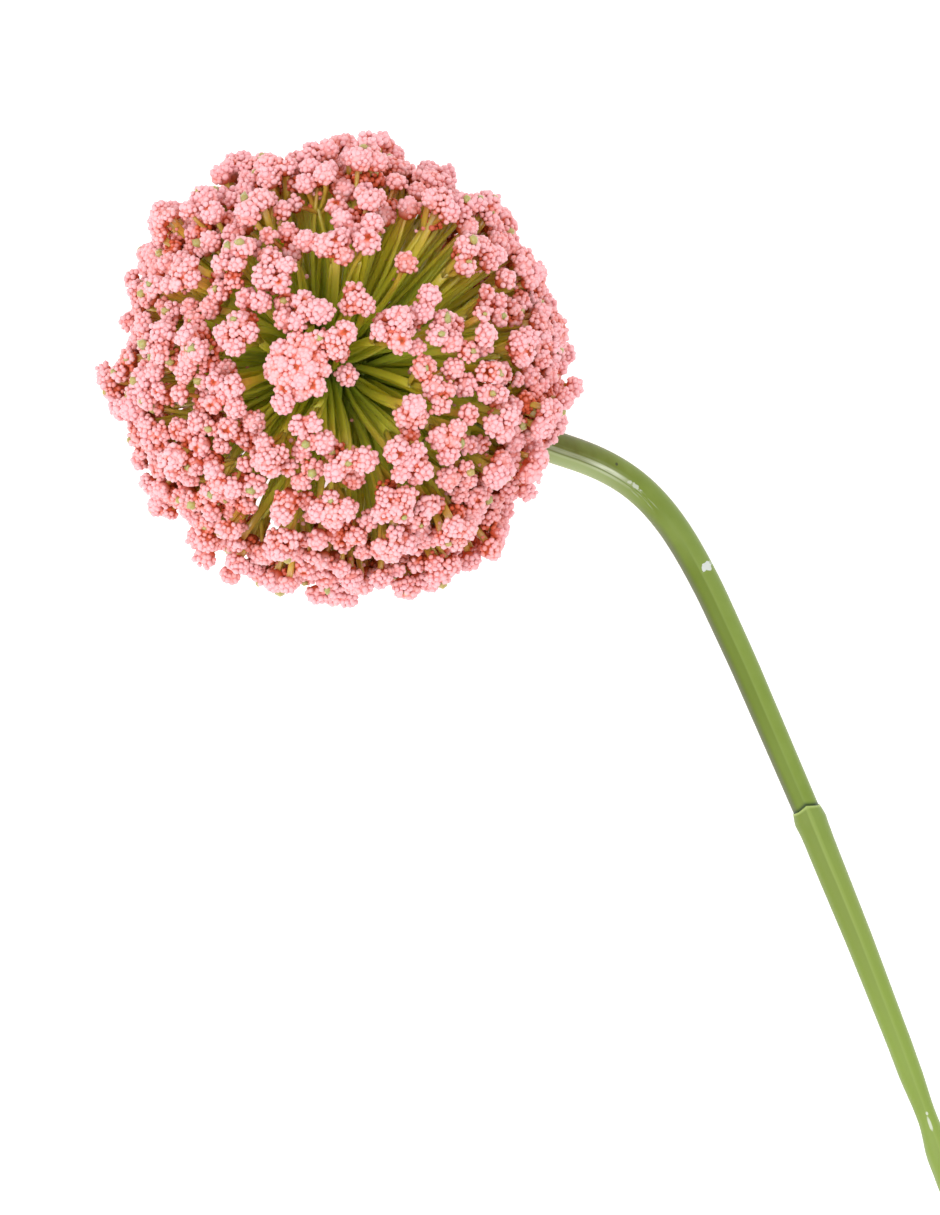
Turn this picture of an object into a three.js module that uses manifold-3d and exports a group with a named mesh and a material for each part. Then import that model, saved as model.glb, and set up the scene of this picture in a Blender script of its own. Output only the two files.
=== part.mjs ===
// Artificial allium flower head on a bent, two-section stem, lying on a flat surface.
//
// Thirteen moulded rings, each with its own spray of flat green rays, are threaded on a steel pin.
// Every ray ends in a small bunch of round knobs, which carry a coat of foam beads. Together the
// knobs make the ball. The pin sits in the top of a hollow plastic stem. The stem slopes from the
// ball to the surface, bends, runs straight along the surface, and plugs into the socket of a
// tapered lower section. Each section has a steel wire inside.
//
// Units are millimetres and +Z is up. The origin is under the middle of the part's box.

import * as THREE from 'three';
import { ConvexGeometry } from 'three/addons/geometries/ConvexGeometry.js';
import { mergeVertices } from 'three/addons/utils/BufferGeometryUtils.js';
import Module from 'manifold-3d';

const wasm = await Module();
wasm.setup();

// ---------------------------------------------------------------- driving dimensions

const HEAD_RADIUS = 46.5;           // from the ball's middle to the middle of a knob
const KNOB_RADIUS = 2.4;           // a knob with its inner beads
const HEAD_HEIGHT = 46.8;          // the ball's middle above the surface: its underside is pressed flat

const WHORLS = 13;                 // moulded rings on the pin
const RAYS_PER_WHORL = 16;
const RAYS = WHORLS * RAYS_PER_WHORL;

const RING_PITCH = 1.85;           // from one ring to the next along the pin
const RING_THICKNESS = 1.45;
const RING_BORE = 1.6;             // radius of the hole for the pin
const RING_END_RADIUS = 3.3;       // outer radius of the rings at the ends of the stack
const RING_SWELL = 1.7;            // what the middle ring has on top of that

const RAY_ROOT_WIDTH = 1.2;
const RAY_TIP_WIDTH = 2.0;
const RAY_THICKNESS = 0.9;
const RAY_SEAT = 0.8;              // how deep a ray starts inside its ring
const RAY_END_DEPTH = 1.2;         // how far short of the knobs' middle a ray ends

const PIN_RADIUS = 1.3;
const PIN_REACH = 16.5;            // the pin runs this far each way from the ball's middle
const FIT = 0.3;                   // clearance between pieces that touch

const CAP_RADIUS = 2.6;
const CAP_FOOT = 12.15;            // where the cap starts along the pin
const CAP_TOP = 18;
const CAP_CROWN = 2.4;             // height of its domed end

const STEM_TOP = 12.2;             // where the stem starts, from the ball's middle
const STEM_RADIUS = 3.08;
const STEM_BORE = 1.6;
const WIRE_RADIUS = 1.25;
const STEM_AXIS_HEIGHT = 3.42;     // the lying stretch's axis above the surface
const FIRST_HEADING = -18.4;       // plan direction of the sloping stretch, in degrees from +X
const SECOND_HEADING = -66.7;      // plan direction of the lying stretch
const THIRD_HEADING = -68.8;       // plan direction of the lower section
const BEND_DISTANCE = 76;          // plan distance from the ball's middle to the bend's corner
const BEND_REACH = 28;             // how far the bend reaches each way from its corner
const UPPER_RUN = 79.2;            // from the bend's corner to the socket's mouth

const PLUG_RADIUS = 2.4;
const PLUG_LENGTH = 11.5;
const PLUG_ROOT = 3;               // how far the plug starts inside the tube
const SOCKET_RADIUS = 2.7;
const SOCKET_DEPTH = 12.3;
const WIRE_STOP = 3;               // the upper wire ends this far short of the mouth
const LOWER_LENGTH = 100;
// Lower section's outside, as [distance from the mouth, radius]: socket, taper, waist, flare, cut.
const LOWER_PROFILE = [
  [0, 3.1], [0.6, 3.42], [5, 3.4], [11, 3.22], [22, 3.1], [40, 2.84], [58, 2.66], [66, 2.45],
  [72, 2.1], [76, 2.3], [81, 2.9], [87, 3.35], [93, 3.38], [LOWER_LENGTH, 3.25],
];

const STEM_SIDES = 12;
const BORE_SIDES = 8;
const OVERCUT = 1;                 // a cut starts this far outside the face that it opens
const STEM_STEPS = 26;
const RING_SIDES = 10;

// ---------------------------------------------------------------- where the head looks

const middle = new THREE.Vector3(0, 0, HEAD_HEIGHT);

function heading(degrees) {
  const turn = THREE.MathUtils.degToRad(degrees);
  return new THREE.Vector3(Math.cos(turn), Math.sin(turn), 0);
}

const corner = heading(FIRST_HEADING).multiplyScalar(BEND_DISTANCE).setZ(STEM_AXIS_HEIGHT);
const downStem = corner.clone().sub(middle).normalize();
const axis = downStem.clone().negate();
const side = new THREE.Vector3(0, 0, 1).cross(axis).normalize();
const face = axis.clone().cross(side);

function onPin(distance) {
  return middle.clone().addScaledVector(axis, distance);
}

// ---------------------------------------------------------------- the arrangement of knobs

// Park and Miller's generator: the same draws on every machine.
let drawState = 20261;
function draw() {
  drawState = (drawState * 16807) % 2147483647;
  return drawState / 2147483647;
}

const GOLDEN_ANGLE = Math.PI * (3 - Math.sqrt(5));
const LOWEST_POLE = 0.965;         // the spiral of rays stops short of the stem
const START_SCATTER = 3.2;         // how far a ray starts from its place on the spiral
const SPREAD = [0, 0, 2.45, 2.85, 3.45];  // knobs' distance from their ray, by their number
const KNOB_SHARES = [0.07, 0.27, 0.62];   // shares of rays with up to one, two and three knobs
const BUNCH_GAP = 4.7;             // between the middles of knobs on one ray
const NEIGHBOUR_GAP = 5.15;        // between the middles of knobs on two rays
const SETTLE_ROUNDS = 80;
const SETTLE_RATE = 0.45;
const BUNCH_PULL = 0.3;

// Partings where the rays lean apart and the green inside shows: [x, y, z, radius], as a
// direction from the ball's middle. The first is where the stem leaves.
const PARTINGS = [
  [downStem.x, downStem.y, downStem.z, 4.4],
  [-0.04, -0.2, 0.98, 5.5],
  [0.19, -0.14, 0.97, 7],
  [0.09, -0.31, 0.95, 5.5],
  [0.385, 0.5, 0.77, 8],
  [0.26, 0.33, 0.91, 6],
  [0.53, 0.29, 0.79, 4.5],
  [-0.04, 0.33, 0.94, 4],
  [0.11, -0.56, 0.82, 4],
  [-0.28, -0.26, 0.92, 3],
  [-0.49, 0.18, 0.85, 3],
  [-0.3, 0.18, 0.94, 2.5],
  [-0.09, 0.65, 0.75, 3],
  [-0.3, -0.74, 0.61, 2],
  [0.62, 0.45, -0.64, 6],
  [-0.5, 0.6, -0.62, 5.5],
  [-0.45, -0.55, -0.7, 5.5],
  [0.35, -0.8, -0.49, 5],
];

function knobCount(share) {
  let count = 1;
  for (const limit of KNOB_SHARES) {
    if (share >= limit) {
      count += 1;
    }
  }
  return count;
}

function scatterKnobs() {
  const knobs = [];
  for (let ray = 0; ray < RAYS; ray += 1) {
    const along = 1 - (1 + LOWEST_POLE) * (ray + 0.5) / RAYS;
    const out = Math.sqrt(1 - along * along);
    const turn = ray * GOLDEN_ANGLE;
    const heart = axis.clone().multiplyScalar(along);
    heart.addScaledVector(side, out * Math.cos(turn));
    heart.addScaledVector(face, out * Math.sin(turn));
    heart.multiplyScalar(HEAD_RADIUS);
    heart.x += (draw() - 0.5) * 2 * START_SCATTER;
    heart.y += (draw() - 0.5) * 2 * START_SCATTER;
    heart.z += (draw() - 0.5) * 2 * START_SCATTER;
    heart.setLength(HEAD_RADIUS);
    const count = knobCount(draw());
    const first = draw() * 2 * Math.PI;
    const normal = heart.clone().normalize();
    const east = new THREE.Vector3(normal.y, -normal.x, 0).normalize();
    const north = normal.clone().cross(east);
    for (let i = 0; i < count; i += 1) {
      const angle = first + i * 2 * Math.PI / count;
      const knob = heart.clone();
      knob.addScaledVector(east, SPREAD[count] * Math.cos(angle));
      knob.addScaledVector(north, SPREAD[count] * Math.sin(angle));
      knob.setLength(HEAD_RADIUS);
      knobs.push({ ray, count, at: knob });
    }
  }
  return knobs;
}

// Knobs push each other apart, keep to their own ray's bunch, and leave the partings free.
function settleKnobs(knobs) {
  const partings = PARTINGS.map(([x, y, z, radius]) => ({
    at: new THREE.Vector3(x, y, z).setLength(HEAD_RADIUS),
    radius: radius + KNOB_RADIUS,
  }));
  for (let round = 0; round < SETTLE_ROUNDS; round += 1) {
    const push = knobs.map(() => new THREE.Vector3());
    const hearts = bunchMiddles(knobs);
    for (let i = 0; i < knobs.length; i += 1) {
      for (let j = i + 1; j < knobs.length; j += 1) {
        const apart = knobs[i].at.clone().sub(knobs[j].at);
        const gap = knobs[i].ray === knobs[j].ray ? BUNCH_GAP : NEIGHBOUR_GAP;
        const distance = apart.length();
        if (distance < gap) {
          apart.multiplyScalar((gap - distance) / distance);
          push[i].add(apart);
          push[j].sub(apart);
        }
      }
    }
    for (let i = 0; i < knobs.length; i += 1) {
      const home = knobs[i].at.clone().sub(hearts[knobs[i].ray]);
      const stray = home.length() - SPREAD[knobs[i].count];
      if (stray > 0) {
        push[i].addScaledVector(home.normalize(), -stray * BUNCH_PULL);
      }
      for (const parting of partings) {
        const away = knobs[i].at.clone().sub(parting.at);
        const short = parting.radius - away.length();
        if (short > 0) {
          push[i].addScaledVector(away.normalize(), short);
        }
      }
    }
    for (let i = 0; i < knobs.length; i += 1) {
      knobs[i].at.addScaledVector(push[i], SETTLE_RATE);
      knobs[i].at.setLength(HEAD_RADIUS);
    }
  }
}

function bunchMiddles(knobs) {
  const hearts = [];
  for (let ray = 0; ray < RAYS; ray += 1) {
    hearts.push(new THREE.Vector3());
  }
  for (const knob of knobs) {
    hearts[knob.ray].addScaledVector(knob.at, 1 / knob.count);
  }
  return hearts;
}

const DEEP_SHARE = 0.09;           // share of rays that stop well short of the ball's surface
const DEEP_BY = 5;
const RAY_REACH_SCATTER = 2.6;
const KNOB_REACH_SCATTER = 0.8;

// Rays differ in length, and the surface stops the lowest knobs.
function setDepths(knobs) {
  const depths = [];
  for (let ray = 0; ray < RAYS; ray += 1) {
    const scatter = (draw() + draw() - 1) * RAY_REACH_SCATTER;
    const deep = draw() < DEEP_SHARE ? DEEP_BY : 0;
    depths.push(scatter - deep);
  }
  for (const knob of knobs) {
    const reach = HEAD_RADIUS + depths[knob.ray] + (draw() - 0.5) * 2 * KNOB_REACH_SCATTER;
    knob.at.setLength(reach).add(middle);
    knob.at.z = Math.max(knob.at.z, KNOB_RADIUS);
  }
}

function arrangeRays() {
  const knobs = scatterKnobs();
  settleKnobs(knobs);
  setDepths(knobs);
  const rays = [];
  for (let ray = 0; ray < RAYS; ray += 1) {
    const own = knobs.filter((knob) => knob.ray === ray).map((knob) => knob.at);
    const heart = new THREE.Vector3();
    own.forEach((at) => heart.addScaledVector(at, 1 / own.length));
    const out = heart.clone().sub(middle);
    const turn = Math.atan2(out.dot(face), out.dot(side));
    rays.push({ knobs: own, heart, turn, along: out.normalize().dot(axis) });
  }
  rays.sort((a, b) => b.along - a.along);
  return rays;
}

// ---------------------------------------------------------------- solids

function solidOf(geometry) {
  const bare = geometry.clone();
  bare.deleteAttribute('normal');
  bare.deleteAttribute('uv');
  const merged = mergeVertices(bare, 1e-5);
  const mesh = new wasm.Mesh({
    numProp: 3,
    vertProperties: new Float32Array(merged.attributes.position.array),
    triVerts: new Uint32Array(merged.index.array),
  });
  return new wasm.Manifold(mesh);
}

function geometryOf(solid) {
  const mesh = solid.getMesh();
  const geometry = new THREE.BufferGeometry();
  geometry.setAttribute('position', new THREE.BufferAttribute(mesh.vertProperties, 3));
  geometry.setIndex(new THREE.BufferAttribute(mesh.triVerts, 1));
  geometry.computeVertexNormals();
  return geometry;
}

// A turned shape: its profile is [distance along, radius], its axis starts at a point.
function turned(profile, start, direction, sides) {
  const points = profile.map(([along, radius]) => new THREE.Vector2(radius, along));
  const geometry = new THREE.LatheGeometry(points, sides);
  const turn = new THREE.Quaternion().setFromUnitVectors(new THREE.Vector3(0, 1, 0), direction);
  geometry.applyQuaternion(turn);
  geometry.translate(start.x, start.y, start.z);
  return geometry;
}

// A plain round bar between two distances along its axis.
function rod(low, high, radius, start, direction, sides) {
  return turned([[low, 0], [low, radius], [high, radius], [high, 0]], start, direction, sides);
}

function disc(radius, sides) {
  const shape = new THREE.Shape();
  for (let i = 0; i < sides; i += 1) {
    const angle = 2 * Math.PI * i / sides;
    const method = i === 0 ? 'moveTo' : 'lineTo';
    shape[method](radius * Math.cos(angle), radius * Math.sin(angle));
  }
  shape.closePath();
  return shape;
}

function along(path, radius, sides, steps) {
  return new THREE.ExtrudeGeometry(disc(radius, sides), {
    steps, bevelEnabled: false, extrudePath: path,
  });
}

// ---------------------------------------------------------------- whorls

function ringRadius(distance) {
  const share = distance / CAP_FOOT;
  return RING_END_RADIUS + RING_SWELL * Math.sqrt(1 - share * share);
}

function ringSolid(distance) {
  const low = -RING_THICKNESS / 2;
  const high = RING_THICKNESS / 2;
  const radius = ringRadius(distance);
  const profile = [[low, RING_BORE], [low, radius], [high, radius], [high, RING_BORE], [low, RING_BORE]];
  return solidOf(turned(profile, onPin(distance), axis, RING_SIDES));
}

// A flat bar from a ring to its bunch of knobs, wider towards the tip.
function raySolid(root, tip, widthwise) {
  const length = root.distanceTo(tip);
  const geometry = new THREE.BoxGeometry(1, RAY_THICKNESS, length);
  const position = geometry.attributes.position;
  for (let i = 0; i < position.count; i += 1) {
    const width = position.getZ(i) > 0 ? RAY_TIP_WIDTH : RAY_ROOT_WIDTH;
    position.setX(i, position.getX(i) * width);
  }
  const forward = tip.clone().sub(root).normalize();
  const flat = forward.clone().cross(widthwise).normalize();
  const across = flat.clone().cross(forward);
  const frame = new THREE.Matrix4().makeBasis(across, flat, forward);
  frame.setPosition(root.clone().add(tip).multiplyScalar(0.5));
  geometry.applyMatrix4(frame);
  return solidOf(geometry);
}

// The outer shape of a bunch: a hull round the six outermost points of each knob.
function bunchSolid(ray) {
  const outward = ray.heart.clone().sub(middle).normalize();
  const first = ray.knobs[0].clone().sub(ray.heart);
  const rough = ray.knobs.length > 1 ? first : side;
  const east = rough.clone().cross(outward).normalize();
  const north = outward.clone().cross(east);
  const points = [];
  for (const knob of ray.knobs) {
    for (const way of [outward, east, north]) {
      points.push(knob.clone().addScaledVector(way, KNOB_RADIUS));
      points.push(knob.clone().addScaledVector(way, -KNOB_RADIUS));
    }
  }
  points.forEach((point) => point.setZ(Math.max(point.z, 0)));
  return solidOf(new ConvexGeometry(points));
}

function whorlSolid(rays, distance) {
  const seat = ringRadius(distance) - RAY_SEAT;
  const byTurn = [...rays].sort((a, b) => a.turn - b.turn);
  const step = 2 * Math.PI / byTurn.length;
  let offset = 0;
  byTurn.forEach((ray, i) => {
    offset += (ray.turn - i * step) / byTurn.length;
  });
  let whorl = ringSolid(distance);
  byTurn.forEach((ray, i) => {
    const turn = offset + i * step;
    const spoke = side.clone().multiplyScalar(Math.cos(turn)).addScaledVector(face, Math.sin(turn));
    const root = onPin(distance).addScaledVector(spoke, seat);
    const forward = ray.heart.clone().sub(root).normalize();
    const tip = ray.heart.clone().addScaledVector(forward, -RAY_END_DEPTH);
    whorl = whorl.add(raySolid(root, tip, axis.clone().cross(spoke)));
    whorl = whorl.add(bunchSolid(ray));
  });
  return whorl;
}

// ---------------------------------------------------------------- stem

const bendStart = corner.clone().addScaledVector(downStem, -BEND_REACH);
const lying = heading(SECOND_HEADING);
const bendEnd = corner.clone().addScaledVector(lying, BEND_REACH);
const mouth = corner.clone().addScaledVector(lying, UPPER_RUN);
const lower = heading(THIRD_HEADING);

function stemPath(start, end) {
  const path = new THREE.CurvePath();
  path.add(new THREE.LineCurve3(start, bendStart));
  path.add(new THREE.QuadraticBezierCurve3(bendStart, corner, bendEnd));
  path.add(new THREE.LineCurve3(bendEnd, end));
  return path;
}

function pastMouth(distance) {
  return mouth.clone().addScaledVector(lower, distance);
}

function upperStem() {
  const shoulder = mouth.clone().addScaledVector(lying, -FIT);
  const tube = solidOf(along(stemPath(onPin(-STEM_TOP), shoulder), STEM_RADIUS, STEM_SIDES, STEM_STEPS));
  const plug = solidOf(rod(-PLUG_ROOT, PLUG_LENGTH, PLUG_RADIUS, mouth, lower, STEM_SIDES));
  const borePath = stemPath(onPin(-STEM_TOP + OVERCUT), pastMouth(-OVERCUT));
  const bore = solidOf(along(borePath, STEM_BORE, BORE_SIDES, STEM_STEPS));
  const plugBore = solidOf(rod(-PLUG_ROOT, PLUG_LENGTH + OVERCUT, STEM_BORE, mouth, lower, BORE_SIDES));
  return geometryOf(tube.add(plug).subtract(bore).subtract(plugBore));
}

function upperWire() {
  const end = mouth.clone().addScaledVector(lying, -WIRE_STOP);
  return along(stemPath(onPin(-PIN_REACH - FIT), end), WIRE_RADIUS, BORE_SIDES, STEM_STEPS);
}

function lowerStem() {
  const inside = [
    [LOWER_LENGTH, STEM_BORE], [SOCKET_DEPTH, STEM_BORE], [SOCKET_DEPTH, SOCKET_RADIUS],
    [0, SOCKET_RADIUS], LOWER_PROFILE[0],
  ];
  return turned([...LOWER_PROFILE, ...inside], mouth, lower, STEM_SIDES);
}

function lowerWire() {
  return rod(SOCKET_DEPTH + FIT, LOWER_LENGTH, WIRE_RADIUS, mouth, lower, BORE_SIDES);
}

// ---------------------------------------------------------------- head fittings

function headPin() {
  return rod(-PIN_REACH, PIN_REACH, PIN_RADIUS, middle, axis, BORE_SIDES);
}

// A blind cap with a domed crown, pushed over the pin's end.
function headCap() {
  const outside = [
    [CAP_FOOT, 0], [CAP_FOOT, CAP_RADIUS], [CAP_TOP - CAP_CROWN, CAP_RADIUS],
    [CAP_TOP - 0.3 * CAP_CROWN, 0.7 * CAP_RADIUS], [CAP_TOP, 0],
  ];
  const end = PIN_REACH + FIT;
  const bore = [[CAP_FOOT - OVERCUT, 0], [CAP_FOOT - OVERCUT, RING_BORE], [end, RING_BORE], [end, 0]];
  const dome = solidOf(turned(outside, middle, axis, BORE_SIDES));
  return geometryOf(dome.subtract(solidOf(turned(bore, middle, axis, BORE_SIDES))));
}

// ---------------------------------------------------------------- the part

const stemPlastic = new THREE.MeshStandardMaterial({ color: 0x86a048, roughness: 0.42, metalness: 0 });
const rayPlastic = new THREE.MeshStandardMaterial({ color: 0xd98f8f, roughness: 0.6, metalness: 0 });
const steel = new THREE.MeshStandardMaterial({ color: 0x9a9c9e, roughness: 0.35, metalness: 1 });
const corePlastic = new THREE.MeshStandardMaterial({ color: 0x4c5c1c, roughness: 0.45, metalness: 0 });

const part = new THREE.Group();

function addPiece(name, geometry, material) {
  const mesh = new THREE.Mesh(geometry, material);
  mesh.name = name;
  part.add(mesh);
}

addPiece('stem_upper', upperStem(), stemPlastic);
addPiece('stem_upper_wire', upperWire(), steel);
addPiece('stem_lower', lowerStem(), stemPlastic);
addPiece('stem_lower_wire', lowerWire(), steel);
addPiece('head_pin', headPin(), steel);
addPiece('head_cap', headCap(), corePlastic);

const rays = arrangeRays();
for (let i = 0; i < WHORLS; i += 1) {
  const own = rays.slice(i * RAYS_PER_WHORL, (i + 1) * RAYS_PER_WHORL);
  const distance = (WHORLS - 1) / 2 * RING_PITCH - i * RING_PITCH;
  const name = 'ray_whorl_' + String(i + 1).padStart(2, '0');
  addPiece(name, geometryOf(whorlSolid(own, distance)), rayPlastic);
}

const box = new THREE.Box3().setFromObject(part);
part.position.set(-(box.min.x + box.max.x) / 2, -(box.min.y + box.max.y) / 2, -box.min.z);

export default part;
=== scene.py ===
# %% [markdown]
# # An artificial allium head on its bent stem
#
# The flower lies on a pale table. Its head is a ball of flat green rays that stand out from rings
# on a steel pin. Each ray forks near its end, and each arm carries a knob coated in pink foam
# beads. The solid model already has every ring, ray and bunch as a plain solid, so this lesson
# keeps its arrangement and gives it the fine surface: some thirty-six thousand beads, the forked
# rays, and the moulded stem.
#
# Everything is in metres in the frame of the solid model, which is loaded first.

# %% Load the frame
import math

import bmesh
import bpy
import numpy as np
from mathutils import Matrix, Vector


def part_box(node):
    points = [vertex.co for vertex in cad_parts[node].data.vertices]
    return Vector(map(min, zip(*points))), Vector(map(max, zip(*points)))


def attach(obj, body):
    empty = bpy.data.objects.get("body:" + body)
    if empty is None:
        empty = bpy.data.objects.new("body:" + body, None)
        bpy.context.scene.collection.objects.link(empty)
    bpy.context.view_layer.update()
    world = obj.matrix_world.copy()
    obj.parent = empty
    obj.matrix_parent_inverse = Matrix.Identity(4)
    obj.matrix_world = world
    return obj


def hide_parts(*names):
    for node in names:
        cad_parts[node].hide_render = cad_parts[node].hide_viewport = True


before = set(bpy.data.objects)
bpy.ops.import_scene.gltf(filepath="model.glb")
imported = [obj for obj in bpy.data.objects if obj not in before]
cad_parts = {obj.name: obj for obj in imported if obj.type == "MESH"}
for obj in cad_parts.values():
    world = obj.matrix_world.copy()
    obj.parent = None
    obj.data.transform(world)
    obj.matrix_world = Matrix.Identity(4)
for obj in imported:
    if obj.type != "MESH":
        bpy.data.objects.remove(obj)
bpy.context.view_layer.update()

# %% [markdown]
# The camera hangs over the table and looks straight down, as on a copy stand. A long lens keeps
# the ball round. It is placed from the middle of the head, which is the middle of the pin that
# the rings are threaded on. It could also be aimed with a constraint, but a camera that looks
# straight down needs no turn at all.

# %% Place the camera
CAMERA_HEIGHT = 0.700
CAMERA_OFFSET = (0.0273, -0.0503)   # from the head's middle, seen from above
CAMERA_LENS = 92.2                  # focal length and sensor width in millimetres
CAMERA_SENSOR = 36

pin_low, pin_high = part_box("head_pin")
head_middle = (pin_low + pin_high) / 2
camera_data = bpy.data.cameras.new("camera")
camera_data.sensor_width = CAMERA_SENSOR
camera_data.lens = CAMERA_LENS
camera = bpy.data.objects.new("camera", camera_data)
camera.location = (head_middle.x + CAMERA_OFFSET[0], head_middle.y + CAMERA_OFFSET[1], CAMERA_HEIGHT)
bpy.context.scene.collection.objects.link(camera)
bpy.context.scene.camera = camera
print("camera at", tuple(round(c, 4) for c in camera.location))

# %% [markdown]
# ## Where the rays go
#
# The rays start on a spiral round the head, the way seeds sit in a sunflower, with a little
# scatter. Then their knobs push each other apart for eighty rounds, like magnets on a ball, and
# keep out of the partings where the green inside shows. The solid model was laid out by the same
# rule, so repeating its draws puts every bead on top of its own solid. All of this is worked out
# in millimetres from the middle of the head.

# %% Directions of the head and its stem
MM = 0.001
STEM_AXIS_HEIGHT = 3.42            # of the stem where it lies on the table
BEND_DISTANCE = 76.0               # from the head's middle to the corner of the bend
FIRST_HEADING = -18.4              # compass angle in which the stem leaves the head
floor_level = -head_middle.z / MM


def heading(degrees):
    """A level direction, from its compass angle."""
    turn = math.radians(degrees)
    return np.array([math.cos(turn), math.sin(turn), 0.0])


def to_length(vector, length=1.0):
    """A vector, or each row of a list of them, stretched to a length."""
    return vector * (length / np.linalg.norm(vector, axis=-1, keepdims=True))


def lengths(vectors):
    return np.linalg.norm(vectors, axis=-1)


def keep_above(places, height):
    """Lifts the places that lie lower than a height above the table."""
    places[:, 2] = np.maximum(places[:, 2], floor_level + height)


bend_corner = heading(FIRST_HEADING) * BEND_DISTANCE
bend_corner[2] = STEM_AXIS_HEIGHT + floor_level
down_stem = to_length(bend_corner)
axis = -down_stem
side = to_length(np.cross((0.0, 0.0, 1.0), axis))
face = np.cross(axis, side)
print("the head looks along", axis.round(3))

# %% A generator of draws that is the same on every machine


class Draws:
    """Park and Miller's generator of numbers from 0 to 1."""

    def __init__(self, state):
        self.state = state

    def __call__(self):
        self.state = self.state * 16807 % 2147483647
        return self.state / 2147483647


draw = Draws(20261)
print("a first draw from seed 1 is", round(Draws(1)(), 6))

# %% Scatter the knobs on a spiral
HEAD_RADIUS = 46.5
KNOB_RADIUS = 2.4
WHORLS = 13
RAYS_PER_WHORL = 16
RAYS = WHORLS * RAYS_PER_WHORL
GOLDEN_ANGLE = math.pi * (3 - math.sqrt(5))
LOWEST_POLE = 0.965                # the spiral stops short of the stem
START_SCATTER = 3.2
SPREAD = np.array([0, 0, 2.45, 2.85, 3.45])   # knobs' distance from their ray, by their number
KNOB_SHARES = (0.07, 0.27, 0.62)   # share of rays with one knob, with up to two and up to three


def scatter_knobs():
    """Each knob's place, its ray and how many knobs that ray has."""
    places, owners, counts = [], [], []
    for ray in range(RAYS):
        along = 1 - (1 + LOWEST_POLE) * (ray + 0.5) / RAYS
        out = math.sqrt(1 - along * along)
        turn = ray * GOLDEN_ANGLE
        heart = axis * along + side * (out * math.cos(turn)) + face * (out * math.sin(turn))
        scatter = [(draw() - 0.5) * 2 * START_SCATTER for _ in range(3)]
        heart = to_length(heart * HEAD_RADIUS + np.array(scatter), HEAD_RADIUS)
        share = draw()
        count = 1 + sum(share >= limit for limit in KNOB_SHARES)
        first = draw() * 2 * math.pi
        normal = to_length(heart)
        east = to_length(np.array([normal[1], -normal[0], 0.0]))
        north = np.cross(normal, east)
        for i in range(count):
            angle = first + i * 2 * math.pi / count
            off = east * math.cos(angle) + north * math.sin(angle)
            places.append(to_length(heart + off * SPREAD[count], HEAD_RADIUS))
            owners.append(ray)
            counts.append(count)
    return np.array(places), np.array(owners), np.array(counts)


knob_places, knob_rays, knob_counts = scatter_knobs()
print(len(knob_places), "knobs on", RAYS, "rays")

# %% Let them settle
BUNCH_GAP = 4.7                    # between the knobs of one bunch
NEIGHBOUR_GAP = 5.15               # between knobs of different bunches
SETTLE_ROUNDS = 80
SETTLE_RATE = 0.45
BUNCH_PULL = 0.3

# Partings, as a direction from the head's middle and the radius that stays free.
PARTINGS = np.array([
    [*down_stem, 4.4],
    [-0.04, -0.2, 0.98, 5.5],
    [0.19, -0.14, 0.97, 7],
    [0.09, -0.31, 0.95, 5.5],
    [0.385, 0.5, 0.77, 8],
    [0.26, 0.33, 0.91, 6],
    [0.53, 0.29, 0.79, 4.5],
    [-0.04, 0.33, 0.94, 4],
    [0.11, -0.56, 0.82, 4],
    [-0.28, -0.26, 0.92, 3],
    [-0.49, 0.18, 0.85, 3],
    [-0.3, 0.18, 0.94, 2.5],
    [-0.09, 0.65, 0.75, 3],
    [-0.3, -0.74, 0.61, 2],
    [0.62, 0.45, -0.64, 6],
    [-0.5, 0.6, -0.62, 5.5],
    [-0.45, -0.55, -0.7, 5.5],
    [0.35, -0.8, -0.49, 5],
])


def bunch_middles(places):
    """The middle of each ray's knobs."""
    middles = np.zeros((RAYS, 3))
    np.add.at(middles, knob_rays, places / knob_counts[:, None])
    return middles


def settle(places):
    """Knobs push each other apart, keep to their own bunch, and leave the partings free."""
    gaps = np.where(knob_rays[:, None] == knob_rays[None, :], BUNCH_GAP, NEIGHBOUR_GAP)
    np.fill_diagonal(gaps, 0)
    free = to_length(PARTINGS[:, :3], HEAD_RADIUS)
    free_radius = PARTINGS[:, 3] + KNOB_RADIUS
    for _ in range(SETTLE_ROUNDS):
        apart = places[:, None, :] - places[None, :, :]
        distance = lengths(apart)
        crowding = np.maximum(gaps - distance, 0) / np.maximum(distance, 1e-9)
        push = (apart * crowding[:, :, None]).sum(axis=1)
        home = places - bunch_middles(places)[knob_rays]
        reach = lengths(home)
        stray = np.maximum(reach - SPREAD[knob_counts], 0)
        push -= home * (stray / np.maximum(reach, 1e-9) * BUNCH_PULL)[:, None]
        for middle, radius in zip(free, free_radius):
            away = places - middle
            near = lengths(away)
            push += away * (np.maximum(radius - near, 0) / near)[:, None]
        places = to_length(places + push * SETTLE_RATE, HEAD_RADIUS)
    return places


knob_places = settle(knob_places)
nearest_pair = min(np.sort(lengths(knob_places - place))[1] for place in knob_places)
print("knobs settled, nearest pair", round(nearest_pair, 2), "mm")

# %% Give the rays their lengths
DEEP_SHARE = 0.09                  # some rays stay this much shorter
DEEP_BY = 5.0
RAY_REACH_SCATTER = 2.6
KNOB_REACH_SCATTER = 0.8

depths = []
for _ in range(RAYS):
    scatter = (draw() + draw() - 1) * RAY_REACH_SCATTER
    depths.append(scatter - (DEEP_BY if draw() < DEEP_SHARE else 0))
knob_reach = np.array([HEAD_RADIUS + depths[ray] + (draw() - 0.5) * 2 * KNOB_REACH_SCATTER
                       for ray in knob_rays])
knob_places = knob_places * (knob_reach / HEAD_RADIUS)[:, None]
keep_above(knob_places, KNOB_RADIUS)
print("knobs reach", round(min(knob_reach), 1), "to", round(max(knob_reach), 1), "mm")

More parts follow.
